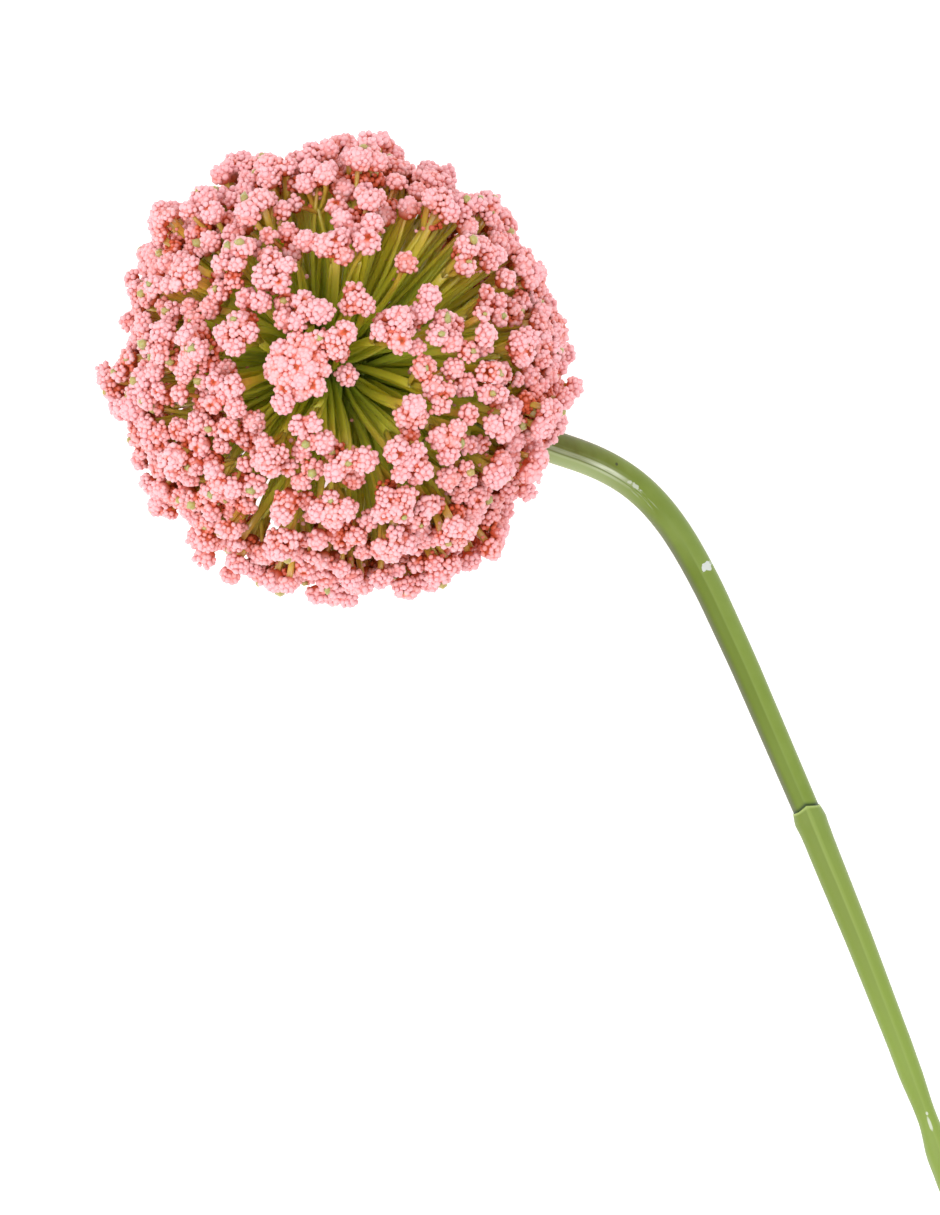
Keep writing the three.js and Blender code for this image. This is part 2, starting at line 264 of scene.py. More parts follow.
# %% Share the rays out over the whorls
RING_PITCH = 1.85
RING_END_RADIUS = 3.3
RING_SWELL = 1.7
RING_STACK = 12.15                 # half the length of the stack of rings
RAY_SEAT = 0.8                     # how deep a ray is rooted in its ring


def ring_radius(distance):
    """Outer radius of the ring at a distance along the pin."""
    return RING_END_RADIUS + RING_SWELL * math.sqrt(1 - (distance / RING_STACK) ** 2)


def arrange_rays():
    """The rays of each whorl, each with where it starts and where it leads."""
    hearts = bunch_middles(knob_places)
    along = to_length(hearts) @ axis
    turns = np.arctan2(hearts @ face, hearts @ side)
    order = np.argsort(-along, kind="stable")
    whorls = []
    for whorl in range(WHORLS):
        own = order[whorl * RAYS_PER_WHORL:(whorl + 1) * RAYS_PER_WHORL]
        own = own[np.argsort(turns[own], kind="stable")]
        distance = ((WHORLS - 1) / 2 - whorl) * RING_PITCH
        step = 2 * math.pi / RAYS_PER_WHORL
        offset = np.mean(turns[own] - step * np.arange(RAYS_PER_WHORL))
        rays = []
        for i, ray in enumerate(own):
            turn = offset + i * step
            spoke = side * math.cos(turn) + face * math.sin(turn)
            root = axis * distance + spoke * (ring_radius(distance) - RAY_SEAT)
            rays.append({"number": ray, "root": root, "spoke": spoke, "heart": hearts[ray]})
        whorls.append({"name": f"ray_whorl_{whorl + 1:02d}", "distance": distance, "rays": rays})
    return whorls


whorls = arrange_rays()

# %% Check the arrangement against the solid model
margins = []
for whorl in whorls:
    low, high = (np.array(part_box(whorl["name"])) - np.array(head_middle)) / MM
    own = knob_places[np.isin(knob_rays, [ray["number"] for ray in whorl["rays"]])]
    margins.append(min((own.min(0) - low).min(), (high - own.max(0)).min()))
print("knobs lie inside their whorl's solid by", round(min(margins), 2), "mm or more")

# %% [markdown]
# ## Finishes
#
# Every finish is made of shader nodes, so nothing depends on a picture file. Wiring nodes one at a
# time hides the thought behind them, so two small helpers come first. A `Signal` wraps a socket,
# and plain arithmetic on it adds the Math nodes. A `Finish` makes any other node in one call: its
# kind, its settings, and what goes into its sockets.

# %% Helpers for the finishes


class Signal:
    """A node's socket that can be calculated with: each operator adds a Math node."""

    def __init__(self, finish, socket):
        self.finish = finish
        self.socket = socket

    def math(self, operation, *values):
        return self.finish.node("ShaderNodeMath", {"operation": operation}, dict(enumerate(values)))

    def __add__(self, other):
        return self.math("ADD", self, other)

    def __sub__(self, other):
        return self.math("SUBTRACT", self, other)

    def __rsub__(self, other):
        return self.math("SUBTRACT", other, self)

    def __mul__(self, other):
        return self.math("MULTIPLY", self, other)

    def __truediv__(self, other):
        return self.math("DIVIDE", self, other)

    def __rtruediv__(self, other):
        return self.math("DIVIDE", other, self)

    __radd__, __rmul__ = __add__, __mul__

    def size(self):
        return self.math("ABSOLUTE", self)

    def near(self, value, width):
        """1 at a value, falling smoothly to 0 a width away on either side."""
        return 1 - (self - value).size().over(width * 0.3, width)

    def over(self, low, high):
        """0 up to low, 1 from high on, and a smooth rise between them."""
        return self.finish.node("ShaderNodeMapRange", {"interpolation_type": "SMOOTHSTEP"},
                                {"Value": self, "From Min": low, "From Max": high})


class Finish:
    """A procedural material under construction."""

    def __init__(self, name):
        self.material = bpy.data.materials.new(name)
        self.material.use_nodes = True
        self.tree = self.material.node_tree
        self.tree.nodes.clear()

    def node(self, kind, settings=None, sockets=None, output=0):
        """Any node: its type, its settings, and the values or signals of its sockets."""
        made = self.tree.nodes.new(kind)
        for name, value in (settings or {}).items():
            setattr(made, name, value)
        for name, value in (sockets or {}).items():
            if isinstance(value, Signal):
                self.tree.links.new(value.socket, made.inputs[name])
            else:
                made.inputs[name].default_value = value
        return Signal(self, made.outputs[output]) if made.outputs else None

    def mark(self, name):
        """A number that the mesh carries at its corners."""
        return self.node("ShaderNodeAttribute", {"attribute_name": name}, output="Fac")

    def noise(self, scale, detail=2.0, place=None):
        place = place or self.node("ShaderNodeTexCoord", output="Object")
        return self.node("ShaderNodeTexNoise", {}, {"Vector": place, "Scale": scale, "Detail": detail})

    def ramp(self, signal, *stops):
        """A run of colour, from stops of a position and a colour."""
        run = self.node("ShaderNodeValToRGB", {}, {0: signal})
        elements = run.socket.node.color_ramp.elements
        elements[0].position, elements[1].position = stops[0][0], stops[-1][0]
        for position, _ in stops[1:-1]:
            elements.new(position)
        for element, (_, colour) in zip(elements, stops):
            element.color = (*colour, 1)
        return run

    def mix(self, amount, first, second):
        """Two colours mixed."""
        first, second = [c if isinstance(c, Signal) else (*c, 1) for c in (first, second)]
        sockets = {0: amount, 6: first, 7: second}
        return self.node("ShaderNodeMix", {"data_type": "RGBA"}, sockets, output=2)

    def layers(self, colour, *layers):
        """Colours laid over a first one, each with its own cover from 0 to 1."""
        for cover, top in layers:
            colour = self.mix(cover, colour, top)
        return colour

    def bump(self, height, distance, strength=1.0):
        sockets = {"Height": height, "Distance": distance, "Strength": strength}
        return self.node("ShaderNodeBump", {}, sockets)

    def surface(self, **sockets):
        """The shader itself. A socket's name is written with _ for a space."""
        named = {name.replace("_", " "): value for name, value in sockets.items()}
        shader = self.node("ShaderNodeBsdfPrincipled", {}, named)
        self.node("ShaderNodeOutputMaterial", {}, {"Surface": shader})
        print("finish:", self.material.name, len(self.tree.nodes), "nodes")
        return self


# %% [markdown]
# The beads are dyed pink foam, matt on top. Down between them, and where other knobs cover them,
# they turn a deep coral red: this is painted shade, reddened as light bounced from bead to bead
# would redden it. The mesh will carry two numbers for this. `rise` says how far out on its knob
# and how openly a point lies, from 0 in the deepest painted shade to 1 on top, and `tint` varies
# from bead to bead.

# %% Pink foam beads
bead_foam = Finish("pink foam beads")
rise = bead_foam.mark("rise")
tint = bead_foam.mark("tint")
# Both runs go from painted shade, deep red in the gaps, to the pink of a bead's open top.
fresh = bead_foam.ramp(
    rise, (0.0, (0.30, 0.035, 0.004)), (0.32, (0.75, 0.145, 0.057)), (0.60, (0.91, 0.432, 0.410)),
    (0.82, (0.945, 0.54, 0.56)), (1.0, (0.955, 0.54, 0.57)))
dusky = bead_foam.ramp(
    rise, (0.0, (0.25, 0.026, 0.003)), (0.32, (0.67, 0.110, 0.042)), (0.60, (0.87, 0.358, 0.330)),
    (0.82, (0.93, 0.475, 0.49)), (1.0, (0.945, 0.495, 0.525)))
bead_foam.surface(
    Base_Color=bead_foam.mix(tint, dusky, fresh),
    Roughness=0.5,
    Specular_IOR_Level=0.2,
    Normal=bead_foam.bump(bead_foam.noise(2600.0, 3.0), 0.00006, 0.5),
)

# %% [markdown]
# The rays are moulded in a soft olive plastic that lets a little light through. They turn from green
# at the middle to olive and yellower on the way out. They are darker at the middle, which is painted
# shade, and end red-brown where they go in under the beads, which is painted shade with painted pink
# light bounced off the beads. `reach` runs from 0 at the pin to 1 at the knobs, `nib` marks the pale
# bare tips, and `tint` varies from ray to ray. A fine noise keeps the change of colour from looking
# painted on.

# %% Olive rays
ray_plastic = Finish("olive ray plastic")
ray_tint = ray_plastic.mark("tint")
ray_reach = ray_plastic.mark("reach") + (ray_plastic.noise(420.0, 3.0) - 0.5) * 0.16
# Darker at reach 0 and red-brown at 1 is painted shade; the red-brown is also painted pink bounce light.
ray_plain = ray_plastic.ramp(
    ray_reach, (0.0, (0.46, 0.51, 0.045)), (0.30, (0.67, 0.65, 0.05)), (0.65, (0.76, 0.68, 0.055)),
    (0.85, (0.68, 0.43, 0.05)), (1.0, (0.38, 0.10, 0.018)))
ray_green = ray_plastic.ramp(
    ray_reach, (0.0, (0.33, 0.48, 0.055)), (0.30, (0.54, 0.64, 0.07)), (0.65, (0.69, 0.72, 0.085)),
    (0.85, (0.70, 0.59, 0.09)), (1.0, (0.42, 0.18, 0.03)))
ray_colour = ray_plastic.mix(ray_tint, ray_green, ray_plain)
nib_colour = ray_plastic.mix(ray_tint, (0.42, 0.34, 0.12), (0.37, 0.39, 0.13))
ray_plastic.surface(
    Base_Color=ray_plastic.mix(ray_plastic.mark("nib"), ray_colour, nib_colour),
    Subsurface_Weight=0.35,
    Subsurface_Radius=(1.0, 0.8, 0.12),
    Subsurface_Scale=0.0025,
    Roughness=0.32,
    Coat_Weight=0.3,
    Coat_Roughness=0.12,
    Normal=ray_plastic.bump(ray_plastic.noise(900.0), 0.0001, 0.4),
)

# %% [markdown]
# The stem is one green plastic in two mouldings. Its colour is darker in and near the head, which is
# painted shade from the head, and lighter towards its end. Its corners carry `along`, the
# millimetres along the section, and `across` and `up`, which say where round the tube a point lies.
# With these three, marks can be put on it. Handling has left fine scratches by the head, a white
# flake and a speck. The rest is painted light and shade: a shaded side and shaded edges, a lighter
# lower side and two highlight stripes by the head, pale highlights on the seam and the collar's rim,
# a shadow under the rim, and a glint at the waist.

# %% Stem plastic


def stem_finish(name, length, *stops):
    """The stem's plastic, its run of colour, and its skin with painted shade at the edges, to add marks
    to.
    """
    plastic = Finish(name)
    along, across = plastic.mark("along"), plastic.mark("across")
    top = plastic.mark("up").over(0.0, 0.3)
    mottle = plastic.noise(160.0, 3.0)
    skin = plastic.layers(
        plastic.ramp(along / length, *stops),
        ((mottle - 0.5) * 1.3 + 0.2, (0.22, 0.30, 0.06)),
        # painted shade along the tube's edges
        (across.size().over(0.78, 1.0) * 0.3, (0.20, 0.22, 0.13)))
    return plastic, along, across, top, mottle, skin


def spot(along, across, middle, size):
    """How near a point lies to a spot: 0 in its middle, 1 at its rim."""
    far_along = (along - middle[0]) / size[0]
    far_across = (across - middle[1]) / size[1]
    return far_along * far_along + far_across * far_across


def finish_stem(plastic, colour, mottle, gloss=0.0):
    plastic.surface(
        Base_Color=colour,
        Roughness=0.44 + (mottle - 0.5) * 0.2 - gloss * 0.2,
        Specular_IOR_Level=0.3,
        Normal=plastic.bump(plastic.noise(700.0), 0.00008, 0.4),
    )


# %% The upper section's plastic and its marks
# The run of colour is darkest in and near the head: painted shade from the head.
upper_plastic, along, across, top, mottle, skin = stem_finish(
    "stem plastic upper", 150.4,
    (0.0, (0.10, 0.11, 0.01)), (0.333, (0.095, 0.105, 0.005)), (0.387, (0.128, 0.164, 0.010)),
    (0.44, (0.158, 0.218, 0.024)), (0.51, (0.168, 0.236, 0.036)), (0.6, (0.172, 0.242, 0.035)),
    (0.72, (0.174, 0.248, 0.031)), (0.9, (0.178, 0.254, 0.032)), (1.0, (0.168, 0.243, 0.030)))
# Painted shade on one side of the tube past the bend.
shade_past_bend = along.over(78.0, 92.0) * 0.9 - along.over(120.0, 140.0) * 0.35
by_head = 1 - along.over(50.0, 74.0)
grain_place = upper_plastic.node("ShaderNodeCombineXYZ", {}, {0: along * 0.22, 1: across * 26.0})
grain = upper_plastic.noise(1.0, 3.0, grain_place)
# A painted highlight by the head: two stripes of reflected light with a dark line between them, broken up
# by a fine grain.
highlight_span = (along.over(48.0, 57.0) * 0.65 + 0.35) * (1 - along.over(56.0, 66.0)) * top
highlight_streaks = across.near(0.16, 0.20) + across.near(0.02, 0.28) * 0.12 + across.near(0.43, 0.12) * 0.45
scratches = across.near(0.30, 0.34) * along.near(67.0, 7.0) * grain.over(0.57, 0.64)
squiggle = spot(along, across, (63.8, 0.10), (2.0, 0.12)) + (upper_plastic.noise(1100.0) - 0.5) * 4.0
flake = spot(along, across, (90.0, -0.48), (1.15, 0.46)) + (upper_plastic.noise(900.0, 3.0) - 0.5) * 3.4
speck = spot(along, across, (57.6, -0.42), (0.42, 0.11))
marked = upper_plastic.layers(
    skin,
    # painted shade on one side past the bend
    (shade_past_bend * across.over(-0.03, 0.12), (0.114, 0.172, 0.003)),
    # painted shade on one edge after the bend
    (along.over(62.0, 84.0) * across.over(0.50, 0.95) * 0.7, (0.09, 0.09, 0.05)),
    # painted light: the lower side by the head is lighter
    (by_head * across.over(0.30, 0.42), (0.33, 0.41, 0.16)),
    # painted highlight stripes
    (highlight_span * highlight_streaks * grain.over(0.10, 0.55), (0.64, 0.70, 0.50)),
    # the dark line between the painted highlight stripes
    (highlight_span * across.near(0.31, 0.06) * 0.6, (0.14, 0.19, 0.07)),
    (scratches * top * 0.9, (0.42, 0.48, 0.32)),
    ((1 - squiggle.over(0.6, 1.0)) * top, (0.50, 0.55, 0.42)),
    ((1 - flake.over(0.75, 0.9)) * top, (0.58, 0.62, 0.58)),
    ((1 - speck.over(0.5, 1.0)) * top * 0.85, (0.05, 0.05, 0.02)),
    # painted shadow just above the collar's rim
    (upper_plastic.mark("rim_shadow"), (0.018, 0.045, 0.002)))
finish_stem(upper_plastic, marked, mottle, by_head * across.near(0.15, 0.5))

# %% The lower section's plastic and its marks
lower_plastic, along, across, top, mottle, skin = stem_finish(
    "stem plastic lower", 100.0,
    (0.0, (0.185, 0.262, 0.042)), (0.2, (0.215, 0.292, 0.048)), (0.5, (0.225, 0.318, 0.050)),
    (1.0, (0.25, 0.345, 0.070)))
drift = along.over(5.0, 20.0) * 0.06 + across
# A painted glint at the waist, a highlight from its curve.
glint = spot(along, across, (73.7, 0.04), (1.9, 0.19)) + (lower_plastic.noise(1200.0, 3.0) - 0.5) * 0.8
glint = glint.math("MINIMUM", glint, spot(along, across, (71.3, -0.05), (0.5, 0.15)))
marked = lower_plastic.layers(
    skin,
    # painted shade on one side of the seam
    (drift.over(0.04, 0.16) * (0.6 - along.over(20.0, 60.0) * 0.4), (0.152, 0.210, 0.026)),
    # painted highlight along the seam ridge
    (drift.near(-0.02, 0.20) * top * (0.35 - along.over(5.0, 40.0) * 0.2), (0.30, 0.39, 0.09)),
    # painted highlight on the face of the collar's rim
    (1 - lower_plastic.mark("rim").over(0.1, 0.9), (0.36, 0.46, 0.13)),
    # painted glint
    ((1 - glint.over(0.3, 1.0)) * top, (0.55, 0.60, 0.45)))
finish_stem(lower_plastic, marked, mottle)

# %% [markdown]
# The pin and the wires are drawn steel. Their solids are round and smooth already, so they only
# change their material. Drawing leaves fine marks, which show as a slight change of gloss.

# %% Steel wire
wire_steel = Finish("drawn steel wire")
drawn = wire_steel.noise(1500.0, 4.0)
wire_steel.surface(
    Base_Color=wire_steel.ramp(drawn, (0.3, (0.42, 0.43, 0.44)), (0.7, (0.62, 0.63, 0.64))),
    Metallic=1.0,
    Roughness=0.28 + drawn * 0.2,
)
for name in ("head_pin", "stem_upper_wire", "stem_lower_wire"):
    for material_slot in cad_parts[name].material_slots:
        material_slot.material = wire_steel.material

# %% [markdown]
# ## Helpers for the pieces
#
# The head repeats a few small shapes thousands of times. Instances would be the light way to do
# it, but they don't survive an export, so the copies become real mesh. A `Heap` gathers copies
# of small patterns with the corners already in place, and turns them into one piece. A pattern
# is made once with bmesh, and it has only a few dozen faces.

# %% Piece helpers


def as_mesh(bm, name):
    mesh = bpy.data.meshes.new(name)
    bm.to_mesh(mesh)
    bm.free()
    return mesh


def keep_pattern(bm):
    """A small shape kept as a mesh, with its corners as an array."""
    mesh = as_mesh(bm, "pattern")
    return mesh, np.array([vertex.co for vertex in mesh.vertices])


def link(name, data):
    """A new object at the origin, in the scene."""
    made = bpy.data.objects.new(name, data)
    bpy.context.scene.collection.objects.link(made)
    return made


def add_piece(name, mesh, finish, slot, *replaced):
    """A finished mesh as a piece of the object."""
    mesh.polygons.foreach_set("use_smooth", [True] * len(mesh.polygons))
    mesh.materials.append(finish.material)
    mesh.update()
    piece = link(name, mesh)
    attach(piece, "root")
    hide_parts(*replaced)
    return piece


class Heap:
    """Copies of patterns, gathered until they become one piece."""

    def __init__(self):
        self.patterns = []
        self.corners = []
        self.marks = {}

    def add(self, pattern, corners, **marks):
        """Copies of one pattern: corners has a row of places for each copy, in millimetres."""
        self.patterns += [pattern[0]] * len(corners)
        self.corners.append(corners.reshape(-1, 3))
        for name, value in marks.items():
            value = np.asarray(value, float)
            value = value if value.ndim == 2 else value.reshape(-1, 1)
            value = np.broadcast_to(value, corners.shape[:2]).ravel()
            self.marks.setdefault(name, []).append(value)

    def mesh(self, name):
        """All the copies as one mesh, in the frame's metres."""
        bm = bmesh.new()
        for pattern in self.patterns:
            bm.from_mesh(pattern)
        mesh = as_mesh(bm, name)
        places = np.array(head_middle) + np.concatenate(self.corners) * MM
        mesh.vertices.foreach_set("co", places.ravel())
        for mark, values in self.marks.items():
            layer = mesh.attributes.new(mark, "FLOAT", "POINT")
            layer.data.foreach_set("value", np.concatenate(values))
        return mesh


def triangles(mesh):
    return sum(len(polygon.vertices) - 2 for polygon in mesh.polygons)


# %% [markdown]
# ## The beads
#
# A knob of the usual size has room for forty beads, packed like roe. Their places come from the
# same sunflower spiral, turned a random way for each knob. Beads are left off where the arm comes
# in and where a neighbouring knob would bury them, and some knobs have a bare spot at the tip. A
# displaced sphere would be cheaper, but its gaps would never be as deep and sharp.
#
# A bead has only twenty faces. An icosphere spends them evenly, and smooth shading and the bumps of
# its neighbours hide its corners. The knob's core is turned so that its pole lies at the tip.

# %% Patterns for beads and knob cores
bm = bmesh.new()
bmesh.ops.create_icosphere(bm, subdivisions=1, radius=1)
BEAD = keep_pattern(bm)
bm = bmesh.new()
bmesh.ops.create_uvsphere(bm, u_segments=6, v_segments=4, radius=1)
CORE = keep_pattern(bm)
print("corners: bead", len(BEAD[1]), "core", len(CORE[1]))

# %% [markdown]
# ## More knobs
#
# The solids round each bunch off as one hull. A closer look finds more in it. The arms of a bunch
# differ in length and stand closer together than its knobs started out, and a full bunch has a
# further knob in its middle. So the knobs become a list that can grow. Each knows its ray, and
# whether its arm leaves that ray early, near the ring.

# %% Loosen the bunches
EARLY_SHARE = 0.35
KNOB_LIFT = 1.3                    # how far a knob may stand in or out of its place
BUNCH_TIGHTNESS = 0.62, 0.95
MIDDLE_SHARE = 0.85                # share of bunches of three or four that have a middle knob
MIDDLE_LIFT = -1.6, 1.9            # how far that knob may stand in or out

rng = np.random.default_rng(52)


class KnobList:
    """Knobs, each with its place, its ray and whether its arm leaves early."""

    def __init__(self, places, rays, early):
        self.places, self.rays, self.early = places, rays, early

    def add(self, places, rays, early):
        self.places = np.concatenate([self.places, places])
        self.rays = np.concatenate([self.rays, rays])
        self.early = np.concatenate([self.early, early])

    def keep(self, chosen):
        self.places, self.rays, self.early = self.places[chosen], self.rays[chosen], self.early[chosen]

    def gap(self, place):
        """From a place to the nearest knob."""
        return lengths(self.places - place).min()


def nearest_ray(places):
    return np.argmax(places @ to_length(ray_hearts).T, axis=-1)


ray_hearts = bunch_middles(knob_places)
early = (rng.uniform(0, 1, len(knob_places)) < EARLY_SHARE) & (knob_counts > 1)
loose = knob_places * (1 + rng.uniform(-KNOB_LIFT, KNOB_LIFT, len(knob_places)) / HEAD_RADIUS)[:, None]
tightness = rng.uniform(*BUNCH_TIGHTNESS, RAYS)[knob_rays][:, None]
loose = ray_hearts[knob_rays] + (loose - ray_hearts[knob_rays]) * tightness
knobs = KnobList(loose, knob_rays, early)

full = [ray for ray in range(RAYS) if (knob_rays == ray).sum() >= 3 and rng.uniform() < MIDDLE_SHARE]
reaches = lengths(ray_hearts[full]) + rng.uniform(*MIDDLE_LIFT, len(full))
knobs.add(to_length(ray_hearts[full]) * reaches[:, None], np.array(full), np.ones(len(full), bool))
print(len(full), "middle knobs")

# %% [markdown]
# One bunch near the middle of the head is fused to a large rosette: a knob in its centre and two
# rings of knobs round it. It replaces the knobs that were there.

# %% The rosette
ROSETTE_WAY = to_length(np.array((-0.14, -0.07, 0.985)))
ROSETTE_REACH = 46.8
ROSETTE_RINGS = ((0.0, 0.0, 1), (2.7, 0.2, 6), (4.6, 1.3, 10))   # how far out, how far down, how many
ROSETTE_RADIUS = ROSETTE_RINGS[-1][0]
ROSETTE_MARGIN = 2.2               # left free of other knobs round it

rosette_east = to_length(np.cross(ROSETTE_WAY, (0.3, 1.0, 0.0)))
rosette_north = np.cross(ROSETTE_WAY, rosette_east)
rosette = []
for spread, drop, count in ROSETTE_RINGS:
    for i in range(count):
        turn = 2 * math.pi * i / count + rng.uniform(-0.2, 0.2)
        off = (rosette_east * math.cos(turn) + rosette_north * math.sin(turn)) * spread
        middle = ROSETTE_WAY * (ROSETTE_REACH - drop + rng.uniform(-0.35, 0.35))
        rosette.append(middle + off * rng.uniform(0.86, 1.1))
knobs.keep(lengths(knobs.places - rosette[0]) >= ROSETTE_RADIUS + ROSETTE_MARGIN)
knobs.add(np.array(rosette), np.full(len(rosette), nearest_ray(ROSETTE_WAY)), np.arange(len(rosette)) > 0)
print("rosette of", len(rosette), "knobs,", len(knobs.places), "in all")

# %% [markdown]
# The head is not quite round where it is widest, as a flower that has been packed and handled.
# A few dents and swells move its knobs in and out. Seen from above there are also slits between
# the bunches, which show the table. Their knobs move sideways, on both sides of the slit.

# %% Dents, swells and slits
GIRTH = 0.6
SWELLS = (   # compass angle, half-width in degrees, and how many millimetres the knobs stand out
    (18, 8, -3.5), (36, 10, -6.0), (54, 6, -8.5), (70, 14, -4.0), (100, 16, -3.0), (126, 5, -3.0),
    (150, 22, 2.0), (162, 7, 1.0), (174, 7, -8.5), (187, 6, -2.5), (198, 6, -3.5), (210, 6, -1.5),
    (226, 7, -4.5), (234, 4, 3.0), (309, 10, 3.0), (356, 8, 1.0),
)
SWELL_POWER = 6                    # how quickly a swell fades above and below the widest line
SLITS = ((245.5, 6.5), (67.5, 3.6), (-9.5, 3.2))   # compass angle and half-width in degrees
SLIT_LEVELS = 0.6, 0.93            # where a slit starts and ends, as a share of the head's radius


def seen_from_above(places, angle):
    """How many degrees places lie from a compass angle, and their share of the way out."""
    compass = np.degrees(np.arctan2(places[:, 1], places[:, 0]))
    off = (compass - angle + 180) % 360 - 180
    return off, lengths(places[:, :2]) / lengths(places)


def swollen(places):
    """Places moved in and out by the dents and swells."""
    swell = np.full(len(places), GIRTH)
    for angle, half_width, height in SWELLS:
        off, level = seen_from_above(places, angle)
        swell += height * np.clip(1 - np.abs(off) / half_width, 0, None)
    reach = lengths(places) + swell * level ** SWELL_POWER
    return to_length(places, 1.0) * reach[:, None]


def open_slits(places):
    """Places moved sideways out of the slits."""
    places = places.copy()
    for angle, half_width in SLITS:
        off, level = seen_from_above(places, angle)
        inside = (np.abs(off) < half_width) & (level > SLIT_LEVELS[0]) & (level < SLIT_LEVELS[1])
        turn = np.radians(np.where(off < 0, -half_width, half_width) - off) * inside
        x, y = places[:, 0].copy(), places[:, 1].copy()
        places[:, 0] = x * np.cos(turn) - y * np.sin(turn)
        places[:, 1] = x * np.sin(turn) + y * np.cos(turn)
    return places


knobs.places = open_slits(swollen(knobs.places))
print("knobs now reach", round(lengths(knobs.places).max(), 1), "mm")

# %% [markdown]
# Last come the knobs that stand apart: some stand proud of the ball where it is widest, many small
# gaps are filled by a lower knob, and a few knobs stand alone on long arms inside the partings.
# Each belongs to the ray that points nearest to it.

# %% Proud, lower and lone knobs
PROUD_KNOBS = (   # compass angle and reach
    (-5, 49.0), (4, 47.0), (-50, 49.0), (-56, 48.5), (-67, 48.5), (-96, 47.5), (-111, 46.5),
    (-125, 48.5), (-155, 46.0), (181, 49.0), (157, 46.5), (118, 48.0), (246, 45.5), (48, 46.0),
)
LOWER_REACH = 43.2
LOWER_SCATTER = 1.6
LOWER_GAP = 3.9                    # how far a lower knob keeps from every other knob,
LOWER_PARTING_GAP = 3.0            # from a parting
LOWER_TABLE_GAP = 2.5              # and from the table
LOWER_TRIES = 1400
LOWER_EARLY_SHARE = 0.3
LONE_KNOBS = np.array([
    (-0.43, 0.19, 0.88), (-0.31, 0.22, 0.93), (-0.34, 0.11, 0.93), (-0.18, 0.16, 0.97),
    (-0.05, 0.07, 1.0), (0.34, 0.42, 0.84), (0.12, 0.22, 0.97), (0.46, 0.18, 0.87),
    (0.31, 0.09, 0.95), (0.35, -0.03, 0.94), (0.07, -0.11, 0.99), (-0.15, -0.27, 0.95),
    (-0.06, -0.36, 0.93), (0.0, -0.45, 0.9), (0.1, -0.59, 0.8), (0.27, -0.64, 0.72),
    (0.35, -0.55, 0.76), (0.36, -0.38, 0.85), (0.45, -0.44, 0.78), (-0.04, -0.57, 0.82),
    (0.68, 0.36, 0.63),
])
LONE_REACH = 43.0
LONE_LIFT = -2.5, 2.0
LONE_GAP = 4.0


def spiral(count):
    """Directions spread evenly over a sphere."""
    i = np.arange(count)
    height = 1 - (2 * i + 1) / count
    out = np.sqrt(1 - height * height)
    return np.stack([out * np.cos(i * GOLDEN_ANGLE), out * np.sin(i * GOLDEN_ANGLE), height], 1)


proud = np.array([heading(angle) * reach for angle, reach in PROUD_KNOBS])
proud[:, 2] = rng.uniform(-4, 6, len(proud))
knobs.add(proud, nearest_ray(proud), np.zeros(len(proud), bool))

free_ways = to_length(PARTINGS[:, :3], HEAD_RADIUS)
under = spiral(LOWER_TRIES) * (LOWER_REACH + rng.uniform(-LOWER_SCATTER, LOWER_SCATTER, (LOWER_TRIES, 1)))
for place in open_slits(under[rng.permutation(LOWER_TRIES)]):
    in_parting = (lengths(free_ways - place) < PARTINGS[:, 3] + LOWER_PARTING_GAP).any()
    above_table = place[2] > floor_level + LOWER_TABLE_GAP
    if not in_parting and knobs.gap(place) > LOWER_GAP and above_table:
        leaves_early = np.array([rng.uniform() < LOWER_EARLY_SHARE])
        knobs.add(place[None], nearest_ray(place[None]), leaves_early)
print("with proud and lower knobs", len(knobs.places))

lone = to_length(LONE_KNOBS) * (LONE_REACH + rng.uniform(*LONE_LIFT, (len(LONE_KNOBS), 1)))
lone = np.array([place for place in lone if knobs.gap(place) > LONE_GAP])
knobs.add(lone, nearest_ray(lone), np.ones(len(lone), bool))
print(len(lone), "lone knobs,", len(knobs.places), "knobs in all")

# %% [markdown]
# Knobs differ in size, stretch, tone and fill. Lower knobs get deeper painted shade, and the rosette
# is fuller and of one tone. Some tips show a hole in the deepest painted shade, or the green under
# the foam.

# %% Plan each knob
BALL_SHELL = 1.82                  # from a knob's middle to the middle of a bead
BEAD_RADIUS = 0.62
KNOB_SIZE = 1.03, 0.15             # the mean and the spread of the knobs' sizes
KNOB_SIZE_LIMITS = 0.72, 1.35
KNOB_STRETCH = 0.86, 1.18
FOAM_FILL = -0.25, 0.18            # how far foam fills the gaps between beads
PALE_SPREAD = 0.04
LOWER_SHADE = 0.13                 # how much deeper the colour of lower knobs is
ROSETTE_PALE, ROSETTE_FILL, ROSETTE_TONE, ROSETTE_SCALE = 0.0, 0.25, 0.6, 0.92
NIB_SHARE = 0.07                   # knobs with a green nib, with a green floor in a small hole,
GREEN_TIP_SHARE = 0.18             # and with a small dark hole: each share counts those before it
OPEN_TIP_SHARE = 0.38

knob_total = len(knobs.places)
knob_out = to_length(knobs.places)
knob_scale = np.clip(rng.normal(*KNOB_SIZE, knob_total), *KNOB_SIZE_LIMITS)
knob_stretch = rng.uniform(*KNOB_STRETCH, knob_total)
knob_tone = rng.uniform(0, 1, knob_total)
knob_fill = rng.uniform(*FOAM_FILL, knob_total)
knob_pale_and_shade = rng.normal(0, PALE_SPREAD, knob_total)
is_lower = lengths(knobs.places) < LOWER_REACH + LOWER_SCATTER
